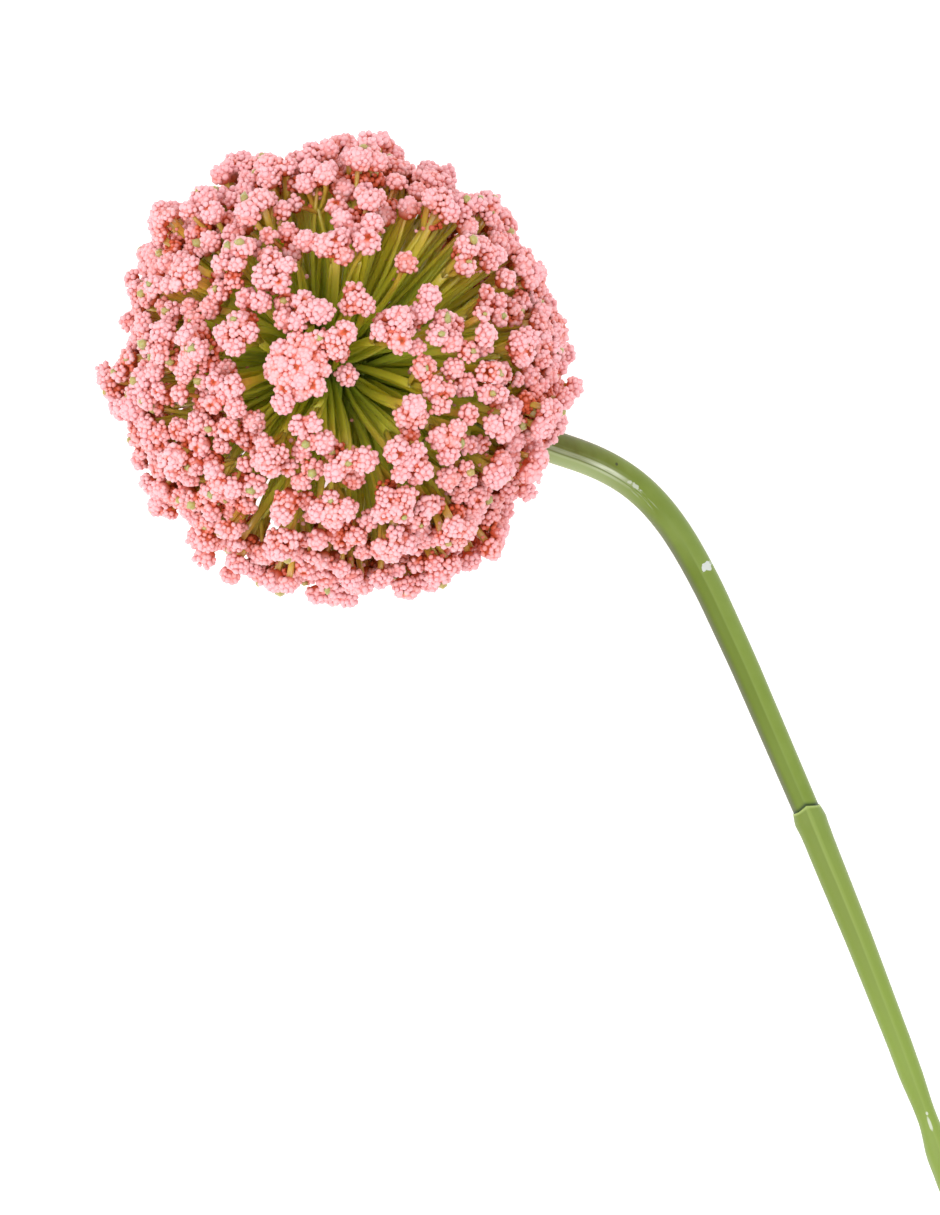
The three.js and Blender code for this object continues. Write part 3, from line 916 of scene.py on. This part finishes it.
# Lower knobs get deeper painted shade.
knob_pale_and_shade[is_lower] -= LOWER_SHADE
in_rosette = lengths(knobs.places - rosette[0]) < ROSETTE_RADIUS + 1.0
knob_pale_and_shade[in_rosette] = ROSETTE_PALE
knob_fill[in_rosette] = ROSETTE_FILL
knob_tone[in_rosette] = ROSETTE_TONE
knob_scale[in_rosette] *= ROSETTE_SCALE
tip_kind = rng.uniform(0, 1, knob_total) + 0.12 * in_rosette
has_nib = tip_kind < NIB_SHARE
has_green_tip = tip_kind < GREEN_TIP_SHARE
has_open_tip = tip_kind < OPEN_TIP_SHARE
keep_above(knobs.places, BALL_SHELL * knob_scale + BEAD_RADIUS)
print(int(has_nib.sum()), "nibs,", int(has_open_tip.sum()), "open tips")

# %% [markdown]
# A ray forks in the last third of its way. Its flat side roughly follows its ring, and it bows a
# little to one side, as soft plastic does. A physical simulation could bend them, but one random
# bow for each looks the same and is done in a moment.

# %% Plan each ray
FORK_SHARES = 0.66, 0.86


def sideways(forward, amount):
    """A random way across a direction."""
    return np.cross(forward, rng.normal(0, 1, 3)) * amount


def plan_ray(ray):
    """Which knobs a ray carries, where it forks, how its flat side lies and how it bows."""
    ray["knobs"] = np.flatnonzero(knobs.rays == ray["number"])
    way = ray["heart"] - ray["root"]
    ray["fork_share"] = rng.uniform(*FORK_SHARES)
    ray["fork"] = ray["root"] + way * ray["fork_share"]
    ray["across"] = to_length(np.cross(axis, ray["spoke"]) + rng.normal(0, 0.35, 3))
    ray["bow"] = sideways(to_length(way), 0.8)
    ray["tint"] = rng.uniform()


for whorl in whorls:
    for ray in whorl["rays"]:
        plan_ray(ray)
fork_shares = [ray["fork_share"] for whorl in whorls for ray in whorl["rays"]]
print("forks at", round(min(fork_shares), 2), "to", round(max(fork_shares), 2), "of the way out")

# %% [markdown]
# The beads of a knob are planned before any is made. Their painted shade is worked out as well: a
# point lies in deeper painted shade near its knob's foot, where another knob touches it, and
# beneath a knob that stands further out. Baked ambient occlusion would say the same, but a bake is
# a picture, while these numbers travel with the mesh.

# %% Where the beads of a knob go
BEADS_PER_KNOB = 40
NEIGHBOUR_REACH = 6.5              # how near another knob has to be to shade or bury beads
BURIED_SHARE = 0.96                # share of another knob's radius within which a bead is buried
BEAD_SIZES = 0.78, 1.22
BEAD_STRAY = 0.10                  # how far beads stray from their spiral
LOWEST_BEAD = -0.42                # where beads end: 1 is a knob's tip and -1 its foot
LOWEST_BEAD_BELOW = -0.15          # where they end on a lower knob
HOLE_EDGE = 0.94                   # and where they stop short of an open tip
LUMP_SPREAD = 0.05
LUMP_SHARE, LUMP_HEIGHT = 0.08, 0.18
FOOT_LEVEL, FOOT_SHADE = 0.32, 0.85    # where the shade towards the foot starts, and its strength
TOUCH_REACH, TOUCH_SHADE = 1.3, 0.7    # the same for a knob that touches
ROOF_REACH, ROOF_SHADE = 2.5, 0.75     # and for a knob that stands further out


def random_turn():
    """A random rotation, or its mirror image, which suits a spiral just as well."""
    turn, _ = np.linalg.qr(rng.normal(size=(3, 3)))
    return turn


def stretched(ways, knob):
    """Directions from a knob's middle, with the knob's own stretch along its outward way."""
    outward = knob_out[knob]
    along = ways @ outward
    return ways + np.outer(along * (knob_stretch[knob] - 1), outward)


def neighbours(knob):
    """The other knobs that are near enough to matter to a knob."""
    near = np.flatnonzero(lengths(knobs.places - knobs.places[knob]) < NEIGHBOUR_REACH)
    return near[near != knob]


def openness(places, along, knob):
    """How open places round a knob lie, as painted shade: 1 outside, less beneath it or by another knob.
    """
    level = 1 - FOOT_SHADE * np.maximum(FOOT_LEVEL - along, 0)
    for other in neighbours(knob):
        toward = knobs.places[other] - places
        distance = lengths(toward)
        above = toward @ knob_out[knob]
        beside = np.sqrt(np.maximum(distance ** 2 - above ** 2, 0))
        gap = distance - BALL_SHELL * knob_scale[other]
        roof = np.clip(above / ROOF_REACH, 0, 1) * np.clip(1.5 - beside / ROOF_REACH, 0, 1)
        level = level - TOUCH_SHADE * np.clip(1 - gap / TOUCH_REACH, 0, 1)
        level = level - ROOF_SHADE * roof
    return np.maximum(level, 0)


def painted_shade(places, along, knob):
    """The painted shade of places round a knob, from 0 deep in a gap to 1 on top of a bead."""
    proud = lengths(places - knobs.places[knob]) - BALL_SHELL * knob_scale[knob]
    own = np.clip(proud / (2 * BEAD_RADIUS) + 0.5, 0, 1)
    return np.clip(0.5 * own + 0.5 * openness(places, along, knob) + knob_pale_and_shade[knob], 0, 1)


def coat(knob):
    """The middles, outward ways and radii of a knob's beads."""
    scale = knob_scale[knob]
    ways = spiral(round(BEADS_PER_KNOB * scale ** 2)) @ random_turn()
    ways = to_length(ways + rng.normal(0, BEAD_STRAY, ways.shape))
    along = ways @ knob_out[knob]
    keep = along > (LOWEST_BEAD_BELOW if is_lower[knob] else LOWEST_BEAD)
    if has_open_tip[knob]:
        keep &= along < HOLE_EDGE
    ways = ways[keep]
    lumps = rng.normal(0, LUMP_SPREAD, len(ways))
    lumps += (rng.uniform(0, 1, len(ways)) < LUMP_SHARE) * LUMP_HEIGHT
    middles = knobs.places[knob] + stretched(ways, knob) * (BALL_SHELL * scale * (1 + lumps))[:, None]
    for other in neighbours(knob):
        buried = BALL_SHELL * knob_scale[other] * BURIED_SHARE
        clear = lengths(middles - knobs.places[other]) > buried
        middles, ways = middles[clear], ways[clear]
    radii = BEAD_RADIUS * rng.uniform(*BEAD_SIZES, len(middles))
    keep_above(middles, radii)
    return middles, ways, radii


crowds = [len(neighbours(knob)) for knob in range(knob_total)]
print("a knob has", round(sum(crowds) / knob_total, 1), "near neighbours, and at most", max(crowds))

# %% Coat the knobs
HOLE_DEPTH = 0.5
CORE_CLEARANCE = 0.3               # between a knob's core and the table
STRAY_DROP = 2.3, 4.4              # how far below its knob a stray bead clings
STRAY_SIZES = 0.6, 0.95
# A stray bead's rise, its level of painted shade, is drawn at random.
STRAY_RISES = 0.35, 0.8
RAY_STRAY_SHARE = 0.6              # share of rays with a stray bead on their flat side
RAY_STRAY_SPAN = 0.35, 0.95        # where along the ray it lies


def facing(pattern, middles, ways, radii):
    """The corners of copies of a round pattern whose poles face along their ways."""
    across = to_length(np.cross(ways, rng.normal(size=ways.shape)))
    over = np.cross(ways, across)
    frames = np.stack([across, over, ways], axis=1) * radii[:, None, None]
    return middles[:, None, :] + np.einsum("ck,bkj->bcj", pattern[1], frames)


def add_beads(heap, knob):
    middles, ways, radii = coat(knob)
    if not len(middles):
        return 0
    corners = facing(BEAD, middles, ways, radii)
    # The painted shade at each bead's corners.
    shade_level = painted_shade(corners.reshape(-1, 3), np.repeat(ways @ knob_out[knob], len(BEAD[1])), knob)
    tints = np.clip(0.5 * knob_tone[knob] + 0.5 * rng.uniform(0, 1, len(middles)), 0, 1)
    heap.add(BEAD, corners, rise=shade_level.reshape(corners.shape[:2]), tint=tints)
    ways = facing(CORE, np.zeros((1, 3)), knob_out[knob:knob + 1], np.ones(1))[0]
    along = ways @ knob_out[knob]
    in_hole = (along > HOLE_EDGE) & has_open_tip[knob]
    radius = BALL_SHELL * knob_scale[knob] + knob_fill[knob] - HOLE_DEPTH * in_hole
    corners = knobs.places[knob] + stretched(ways, knob) * radius[:, None]
    keep_above(corners, CORE_CLEARANCE)
    # An open tip's hole gets the deepest painted shade.
    shade_level = painted_shade(corners, along, knob) * ~in_hole
    heap.add(CORE, corners[None], rise=shade_level[None], tint=knob_tone[knob])
    return len(middles)


def add_strays(heap, ray):
    """Beads that came off: some cling to an arm below their knob, some lie on the ray."""
    spots = []
    for knob in ray["knobs"]:
        foot = ray["root"] if knobs.early[knob] else ray["fork"]
        down = to_length(foot - knobs.places[knob])
        for _ in range(rng.integers(0, 3)):
            spots.append(knobs.places[knob] + down * rng.uniform(*STRAY_DROP) + sideways(down, 0.4))
    if rng.uniform() < RAY_STRAY_SHARE:
        share = rng.uniform(*RAY_STRAY_SPAN)
        way = ray["fork"] - ray["root"]
        flat = to_length(np.cross(to_length(way), ray["across"])) * rng.choice((-1, 1))
        spots.append(ray["root"] + way * share + ray["bow"] * 4 * share * (1 - share) + flat * 0.75)
    spots = np.array([spot for spot in spots if spot[2] > floor_level + 1])
    if not len(spots):
        return 0
    radii = BEAD_RADIUS * rng.uniform(*STRAY_SIZES, len(spots))
    corners = facing(BEAD, spots, to_length(spots), radii)
    rise = rng.uniform(*STRAY_RISES, len(spots))
    heap.add(BEAD, corners, rise=rise, tint=rng.uniform(0, 1, len(spots)))
    return len(spots)


bead_total = 0
for whorl in whorls:
    heap = Heap()
    for ray in whorl["rays"]:
        for knob in ray["knobs"]:
            bead_total += add_beads(heap, knob)
        bead_total += add_strays(heap, ray)
    name = whorl["name"].replace("ray_whorl", "beads")
    whorl["beads"] = add_piece(name, heap.mesh(name), bead_foam, "bead_foam", whorl["name"])
most = max(triangles(whorl["beads"].data) for whorl in whorls)
print(bead_total, "beads, and", most, "triangles in the largest piece")

# %% [markdown]
# ## The rays
#
# Each ray is a flat bar, thicker than a leaf and with rounded edges. It widens from its ring to a
# fork, and an arm runs from the fork to each knob. Some arms leave their ray near the ring and
# look like rays of their own, which fills the inside with green. The bar is made once, as a box
# whose long edges are bevelled and cut across, and then bent along its own path for each ray.

# %% Patterns for bars


def bar_pattern(cuts, edge):
    """A straight bar of unit size along Z, with its long edges bevelled."""
    bm = bmesh.new()
    bmesh.ops.create_cube(bm, size=1)
    bmesh.ops.translate(bm, verts=bm.verts, vec=(0, 0, 0.5))
    long_edges = [e for e in bm.edges if abs(e.verts[0].co.z - e.verts[1].co.z) > 0.5]
    bmesh.ops.bevel(bm, geom=long_edges, affect="EDGES", offset=edge, segments=1, profile=0.5,
                    material=-1)
    long_edges = [e for e in bm.edges if abs(e.verts[0].co.z - e.verts[1].co.z) > 0.5]
    bmesh.ops.subdivide_edges(bm, edges=long_edges, cuts=cuts, use_grid_fill=True)
    return keep_pattern(bm)


BAR = bar_pattern(4, 0.22)
ARM = bar_pattern(2, 0.25)
print("corners: bar", len(BAR[1]), "arm", len(ARM[1]))

# %% Bend the bars into rays
RAY_ROOT_WIDTH = 1.15
RAY_FORK_WIDTH = 2.05
ARM_WIDTH = 1.25
RAY_THICKNESS = 0.9
ARM_THICKNESS = RAY_THICKNESS * 0.9
EARLY_WIDTHS = RAY_ROOT_WIDTH * 0.8, ARM_WIDTH * 1.35    # of an arm that leaves early
LATE_WIDTHS = RAY_FORK_WIDTH * 0.7, ARM_WIDTH
ARM_OVERLAP = 1.5                  # how far an arm is rooted in its ray
RAY_TIP_SPREAD = 0.85, 1.15        # how much the rays differ in width at their forks
NIB = (0.8, 1.2), (-0.4, 0.25)     # its size, and how far it stands in or out
HOLE_FLOOR = (0.55, 0.95), (-0.4, -0.05)


def bent(pattern, start, end, across, widths, thickness, bow):
    """The corners of a bar that runs from start to end, with a bow to one side."""
    x, y, z = pattern[1].T
    forward = to_length(end - start)
    flat = to_length(np.cross(forward, across))
    across = np.cross(flat, forward)
    path = start + np.outer(z, end - start) + np.outer(4 * z * (1 - z), bow)
    width = widths[0] + (widths[1] - widths[0]) * z
    return path + np.outer(x * width, across) + np.outer(y * thickness, flat), z


def add_ray(heap, ray):
    root, fork, fork_share, tint = ray["root"], ray["fork"], ray["fork_share"], ray["tint"]
    forward = to_length(fork - root)
    widths = RAY_ROOT_WIDTH, RAY_FORK_WIDTH * rng.uniform(*RAY_TIP_SPREAD)
    corners, share = bent(BAR, root, fork, ray["across"], widths, RAY_THICKNESS, ray["bow"])
    heap.add(BAR, corners[None], reach=share[None] * fork_share, tint=tint, nib=0.0)
    for knob in ray["knobs"]:
        end = knobs.places[knob]
        arm_across = to_length(ray["across"] + rng.normal(0, 0.4, 3))
        if knobs.early[knob]:
            start = root + sideways(forward, 0.5)
            widths, from_share, pattern = EARLY_WIDTHS, 0.0, BAR
            bow = sideways(forward, 1.1)
        else:
            start = fork - forward * ARM_OVERLAP
            widths, from_share, pattern = LATE_WIDTHS, fork_share, ARM
            bow = sideways(forward, 0.35)
        corners, share = bent(pattern, start, end, arm_across, widths, ARM_THICKNESS, bow)
        heap.add(pattern, corners[None], reach=from_share + share[None] * (1 - from_share),
                 tint=np.clip(tint + rng.normal(0, 0.2), 0, 1), nib=0.0)


def add_tip(heap, knob):
    """The bare green tip of a knob: a nib that stands out, or the floor of a small hole."""
    shell = BALL_SHELL * knob_scale[knob] * knob_stretch[knob]
    sizes, lifts = NIB if has_nib[knob] else HOLE_FLOOR
    size, lift = rng.uniform(*sizes), rng.uniform(*lifts)
    tip = knobs.places[knob] + knob_out[knob] * (shell + lift)
    corners = tip + (CORE[1] + rng.normal(0, 0.12, CORE[1].shape)) * rng.uniform(0.75, 1.25, 3) * size
    keep_above(corners, CORE_CLEARANCE)
    heap.add(CORE, corners[None], reach=0.9, tint=rng.uniform(), nib=rng.uniform(0.8, 1.0))


# %% Turn the rings
RING_THICKNESS = 1.45
RING_BORE = 1.6
RING_OUTLINE = ((0.4, -0.5), (0.93, -0.5), (1, -0.35), (1, 0.35), (0.93, 0.5), (0.4, 0.5))


def turned(outline, steps):
    """A closed outline of radius and height, spun round Z."""
    bm = bmesh.new()
    corners = [bm.verts.new((radius, 0, height)) for radius, height in outline]
    edges = [bm.edges.new(pair) for pair in zip(corners, corners[1:] + corners[:1])]
    bmesh.ops.spin(bm, geom=corners + edges, cent=(0, 0, 0), axis=(0, 0, 1), angle=2 * math.pi,
                   steps=steps, use_merge=True)
    bmesh.ops.remove_doubles(bm, verts=bm.verts, dist=0.001)
    bmesh.ops.recalc_face_normals(bm, faces=bm.faces)
    return keep_pattern(bm)


def on_axis(x, y, z):
    """Places in the head's own directions: Z runs along its axis."""
    return np.outer(x, side) + np.outer(y, face) + np.outer(z, axis)


RING = turned(RING_OUTLINE, 24)


def add_ring(heap, distance):
    x, y, z = RING[1].T
    reach = np.hypot(x, y)
    grown = np.where(reach < 0.5, RING_BORE / reach, ring_radius(distance))
    corners = on_axis(x * grown, y * grown, z * RING_THICKNESS + distance)
    heap.add(RING, corners[None], reach=0.0, tint=0.5, nib=0.0)


for whorl in whorls:
    heap = Heap()
    add_ring(heap, whorl["distance"])
    for ray in whorl["rays"]:
        add_ray(heap, ray)
        for knob in ray["knobs"]:
            if has_green_tip[knob]:
                add_tip(heap, knob)
    name = whorl["name"].replace("ray_whorl", "rays")
    whorl["green"] = add_piece(name, heap.mesh(name), ray_plastic, "ray_plastic", whorl["name"])
print("triangles so far", sum(triangles(whorl["green"].data) + triangles(whorl["beads"].data)
                              for whorl in whorls))

# %% [markdown]
# ## The cap
#
# A small blind cap holds the rings on the pin. It could be cut from cylinders, which leaves an
# uneven mesh. It is a turned shape, so half its outline is drawn once and spun round the pin.

# %% Spin the cap
CAP_OUTLINE = ((1.6, 12.15), (2.35, 12.15), (2.6, 12.4), (2.6, 15.4), (2.45, 16.3), (2.0, 17.1),
               (1.2, 17.7), (0.0, 18.0), (0.0, 16.8), (1.6, 16.8))

CAP = turned(CAP_OUTLINE, 28)
heap = Heap()
heap.add(CAP, on_axis(*CAP[1].T)[None])
cap_mesh = heap.mesh("crown_cap")
add_piece("crown_cap", cap_mesh, ray_plastic, "ray_plastic", "head_cap")
print("cap:", triangles(cap_mesh), "triangles")

# %% [markdown]
# ## The stem
#
# Both stem sections are hollow plastic tubes. A curve with a bevel would make a plain tube, but
# the collar, the waist and the mould seams need a section that changes on the way. So a straight
# skin is grown ring by ring from a circle, out along the wall and back through the bore, and its
# corners are then bent onto the stem's own path.

# %% The stem's path
SECOND_HEADING = -66.7
THIRD_HEADING = -68.8
BEND_REACH = 28.0
UPPER_RUN = 79.2
STEM_TOP = 12.2
STEM_BORE = 1.6

lying = heading(SECOND_HEADING)
lower_way = heading(THIRD_HEADING)
stem_start = -axis * STEM_TOP
bend_start = bend_corner - down_stem * BEND_REACH
bend_end = bend_corner + lying * BEND_REACH
mouth = bend_corner + lying * UPPER_RUN


def upper_path():
    """Points close together along the upper section, and how far along each lies."""
    slope = [stem_start + (bend_start - stem_start) * t for t in np.linspace(0, 1, 16)[:-1]]
    bend = [bend_start * (1 - t) ** 2 + bend_corner * (2 * t * (1 - t)) + bend_end * t ** 2
            for t in np.linspace(0, 1, 40)]
    flat = [bend_end + (mouth - bend_end) * t for t in np.linspace(0, 1, 22)[1:]]
    points = np.array(slope + bend + flat)
    return points, np.concatenate([[0], np.cumsum(lengths(np.diff(points, axis=0)))])


path_points, path_lengths = upper_path()
print("upper section:", round(path_lengths[-1], 1), "mm along")

# %% Grow a skin and bend it


def grown_skin(sides, rings):
    """A tube of unit radius grown ring by ring along Z, its two ends joined to each other."""
    bm = bmesh.new()
    bmesh.ops.create_circle(bm, segments=sides, radius=1)
    first = list(bm.edges)
    last = first
    for _ in range(rings - 1):
        grown = bmesh.ops.extrude_edge_only(bm, edges=last)["geom"]
        last = [g for g in grown if isinstance(g, bmesh.types.BMEdge) and g.is_boundary]
        bmesh.ops.translate(bm, verts=[g for g in grown if isinstance(g, bmesh.types.BMVert)],
                            vec=(0, 0, 1))
    return bm, first, last


def bent_tube(name, sides, rings, place, *names):
    """A closed hollow tube. place gives a corner's spot and its named numbers, from the number of
    its ring and its angle."""
    bm, first, last = grown_skin(sides, rings)
    layers = [bm.verts.layers.float.new(mark) for mark in names]
    for vertex in bm.verts:
        spot_mm, *numbers = place(round(vertex.co.z), math.atan2(vertex.co.y, vertex.co.x))
        for layer, number in zip(layers, numbers):
            vertex[layer] = number
        spot_mm[2] = max(spot_mm[2], floor_level + 0.02)
        vertex.co = head_middle + Vector(spot_mm) * MM
    bmesh.ops.bridge_loops(bm, edges=first + last)
    bmesh.ops.recalc_face_normals(bm, faces=bm.faces)
    return as_mesh(bm, name)


def on_path(distance):
    return np.array([np.interp(distance, path_lengths, row) for row in path_points.T])


def path_frame(distance):
    """A point of the upper path, with the ways across and up at it."""
    forward = to_length(on_path(distance + 0.5) - on_path(distance - 0.5))
    across = to_length(np.cross(forward, (0, 0, 1)))
    return on_path(distance), across, np.cross(across, forward)


print("half way along, up is", path_frame(path_lengths[-1] / 2)[2].round(2))

# %% [markdown]
# Neither section is a true cylinder. The upper one is swollen where it leaves the head and bulges
# outwards in its bend. The lower one has a waist, and it starts in a collar whose rim rises to a
# blunt point, from which a mould seam runs down. A long list of radii could hold all this, but a
# few points say it better when they are joined in the right way. A taper runs straight from point
# to point, with its corners rounded off. A wave eases from one turning point to the next.

# %% The collar's rim, tapers and waves
RIM_ACROSS = (-1.0, -0.77, -0.22, 0.0, 0.09, 0.66, 0.86, 1.0)
RIM_DISTANCE = (-1.5, -1.6, -2.25, -2.5, -2.36, -1.68, -1.6, -1.5)


def rim(angle):
    """Where the collar's rim lies along the lower section, at an angle round it."""
    return float(np.interp(math.cos(angle), RIM_ACROSS, RIM_DISTANCE))


def taper(points, distance, reach):
    """A value that runs straight from point to point, averaged over a short reach."""
    places, values = zip(*points)
    return float(np.interp(distance + np.linspace(-reach, reach, 5), places, values).mean())


def wave(points, distance):
    """A value that eases from one turning point to the next."""
    places, values = zip(*points)
    number = float(np.interp(distance, places, range(len(points))))
    before = min(int(number), len(points) - 2)
    share = number - before
    return values[before] + (values[before + 1] - values[before]) * share ** 2 * (3 - 2 * share)


print("the rim reaches", -rim(0), "to", round(-rim(math.pi / 2), 2), "mm over the upper section")

# %% The upper section
# A distance along the section, with the radius there or the sideways shift of the middle line.
UPPER_RADIUS = ((0, 3.08), (20, 3.3), (40, 3.6), (48, 3.6), (68, 3.42), (84, 3.38), (151, 2.94))
UPPER_SHIFT = ((41.5, 0.0), (64, -0.7), (93, 0.73), (117, 0.31))
UPPER_ROUNDING = 4.0
UPPER_SIDES = 48
UPPER_LENGTH = path_lengths[-1]

# Stations are a distance and a share of the full radius outside, or the bore's radius inside.
plain = np.linspace(1.5, UPPER_LENGTH - 4.2, 104)
by_collar = np.linspace(UPPER_LENGTH - 4, UPPER_LENGTH - 0.5, 18)
upper_stations = [(0.0, 0.94), (0.25, 1.0)] + [(distance, 1.0) for distance in (*plain, *by_collar)]
upper_stations += [(UPPER_LENGTH - 0.15, 0.97), (UPPER_LENGTH, 0.8)]
inside_first = len(upper_stations)
upper_stations += [(distance, STEM_BORE) for distance in np.linspace(UPPER_LENGTH, 0, 41)]
upper_frames = [path_frame(distance) for distance, _ in upper_stations]


def upper_spot(ring, angle):
    """Round the skin: the outside, with the shade of the collar's rim, and the bore."""
    point, across, up = upper_frames[ring]
    distance, radius = upper_stations[ring]
    shift = wave(UPPER_SHIFT, distance)
    rim_shadow = 0.0
    if ring < inside_first:
        radius *= taper(UPPER_RADIUS, distance, UPPER_ROUNDING)
        # painted shadow just above the collar's rim
        rim_shadow = math.exp(-((distance - UPPER_LENGTH - rim(angle) + 0.25) / 0.5) ** 2)
    place = point + across * (shift + math.cos(angle) * radius) + up * (math.sin(angle) * radius)
    return place, distance, math.cos(angle), math.sin(angle), rim_shadow


upper_mesh = bent_tube("stem_upper_skin", UPPER_SIDES, len(upper_stations), upper_spot,
                       "along", "across", "up", "rim_shadow")
add_piece("stem_upper_skin", upper_mesh, upper_plastic, "stem_plastic", "stem_upper")
print("upper section:", triangles(upper_mesh), "triangles")

# %% The lower section
LOWER_RADIUS = ((1, 3.69), (3, 3.48), (6, 3.37), (15, 3.28), (50, 2.8), (61, 2.69))
WAIST = ((61, 2.69), (71.4, 2.25), (72.6, 2.25), (83.5, 3.25), (89, 3.4), (92, 3.4), (98.6, 3.32),
         (100.3, 3.16))
LOWER_SHIFT = ((2, 0.34), (4, 0.24), (10, 0.2), (30, -0.14), (55, -0.14), (61, -0.02), (74, 0.1),
               (80, 0.3), (84, 0.18), (93, 0.0))
LOWER_ROUNDING = 0.7
SEAM_DRIFT = ((0, 0.0), (10, 0.0), (20, 0.06), (100, 0.08))    # its angle from the top, in radians
SEAM_HEIGHT = ((0, 0.10), (10, 0.08), (45, 0.03), (100, 0.02))
SEAM_WIDTH = 0.11
LOWER_LENGTH = 100.0
LOWER_SIDES = 72
SOCKET_RADIUS = 2.7
SOCKET_DEPTH = 12.3
COLLAR_BORE = 3.0
SHOULDER = 1.2                     # where the collar has its full radius
RIM_RADIUS = 3.14
RIM_LIP = 0.04

lower_across = to_length(np.cross(lower_way, (0, 0, 1)))
rim_shares = (0.0, 0.05, 0.12, 0.28, 0.6)          # of the way from the rim to the full collar
outer_distances = np.concatenate([np.linspace(SHOULDER, 99.6, 112), (LOWER_LENGTH,)])
inner_stations = [(LOWER_LENGTH, STEM_BORE), (SOCKET_DEPTH, STEM_BORE), (SOCKET_DEPTH, SOCKET_RADIUS),
                  (0.3, SOCKET_RADIUS), (0.15, COLLAR_BORE)]
lower_rings = len(rim_shares) + len(outer_distances) + len(inner_stations) + 1


def lower_radius(distance):
    """A taper as far as the waist, and a wave from there on."""
    if distance < WAIST[0][0]:
        return taper(LOWER_RADIUS, distance, LOWER_ROUNDING)
    return wave(WAIST, distance)


def lower_spot(ring, angle):
    """Round the skin: the collar's shoulder, the outside, the socket and the collar's bore."""
    number = ring - len(rim_shares)
    if ring == lower_rings - 1:
        distance, radius = rim(angle), COLLAR_BORE
    elif number >= len(outer_distances):
        distance, radius = inner_stations[number - len(outer_distances)]
    elif number >= 0:
        distance = outer_distances[number]
        radius = lower_radius(distance)
    else:
        share = rim_shares[ring]
        distance = rim(angle) * (1 - share) + SHOULDER * share
        radius = RIM_RADIUS + 0.54 * share + (RIM_LIP if share else 0)
    shift = taper(LOWER_SHIFT, distance, LOWER_ROUNDING)
    if 0 <= number < len(outer_distances) or 0 < ring < len(rim_shares):
        seam = math.pi / 2 + float(np.interp(distance, *np.array(SEAM_DRIFT).T))
        height = float(np.interp(distance, *np.array(SEAM_HEIGHT).T))
        radius += height * math.exp(-((angle - seam) / SEAM_WIDTH) ** 2)
    from_rim = min(1.0, rim_shares[ring] * 4) if ring < len(rim_shares) else float(ring < lower_rings - 1)
    around = lower_across * math.cos(angle) + np.array((0.0, 0.0, 1.0)) * math.sin(angle)
    place = mouth + lower_way * distance + lower_across * shift + around * radius
    return place, distance, math.cos(angle), math.sin(angle), from_rim


lower_mesh = bent_tube("stem_lower_skin", LOWER_SIDES, lower_rings, lower_spot,
                       "along", "across", "up", "rim")
add_piece("stem_lower_skin", lower_mesh, lower_plastic, "stem_plastic", "stem_lower")
print("lower section:", triangles(lower_mesh), "triangles")

# %% [markdown]
# ## The table and the light
#
# The table is a plain pale sheet that glows a little, so that it stays evenly pale. The light is
# soft and comes from all over, as in a light tent. A large panel hangs overhead, a weaker one on
# the left gives some shape, a faint one opposite lifts the shade, and a small one gives crisp
# highlights. The stripes of light on the stem are painted.

# %% Table
TABLE_SIZE = 12.0                  # wide enough to reach the horizon in a level view

bm = bmesh.new()
bmesh.ops.create_grid(bm, x_segments=1, y_segments=1, size=TABLE_SIZE)
table_mesh = as_mesh(bm, "table")
table = link("table", table_mesh)
table_finish = Finish("pale table").surface(Base_Color=(0.93, 0.93, 0.93, 1), Roughness=0.8,
                                            Emission_Color=(1, 1, 1, 1), Emission_Strength=0.50)
table_mesh.materials.append(table_finish.material)
print("the table reaches", max(vertex.co.x for vertex in table_mesh.vertices), "m to each side")

# %% Lights
TENT_LIGHT = 0.75

scene = bpy.context.scene
scene.view_settings.view_transform = "Standard"
world = bpy.data.worlds.new("light tent")
world.use_nodes = True
background = world.node_tree.nodes["Background"]
background.inputs["Color"].default_value = (1, 1, 1, 1)
background.inputs["Strength"].default_value = TENT_LIGHT
scene.world = world


def add_panel(name, direction, distance, size, power):
    """A square soft panel that faces the head."""
    light = bpy.data.lights.new(name, "AREA")
    light.size = size
    light.energy = power
    panel = link(name, light)
    way = Vector(direction).normalized()
    panel.location = head_middle + way * distance
    panel.rotation_euler = way.to_track_quat("Z", "Y").to_euler()


add_panel("overhead_panel", (-0.15, -0.1, 1.0), 1.1, 1.0, 4.8)
add_panel("key_panel", (-0.75, -0.35, 0.75), 0.9, 0.5, 2.3)
add_panel("small_panel", (0.25, -0.35, 0.9), 0.8, 0.07, 0.5)
add_panel("fill_panel", (0.8, 0.5, 0.6), 1.0, 0.7, 1.2)
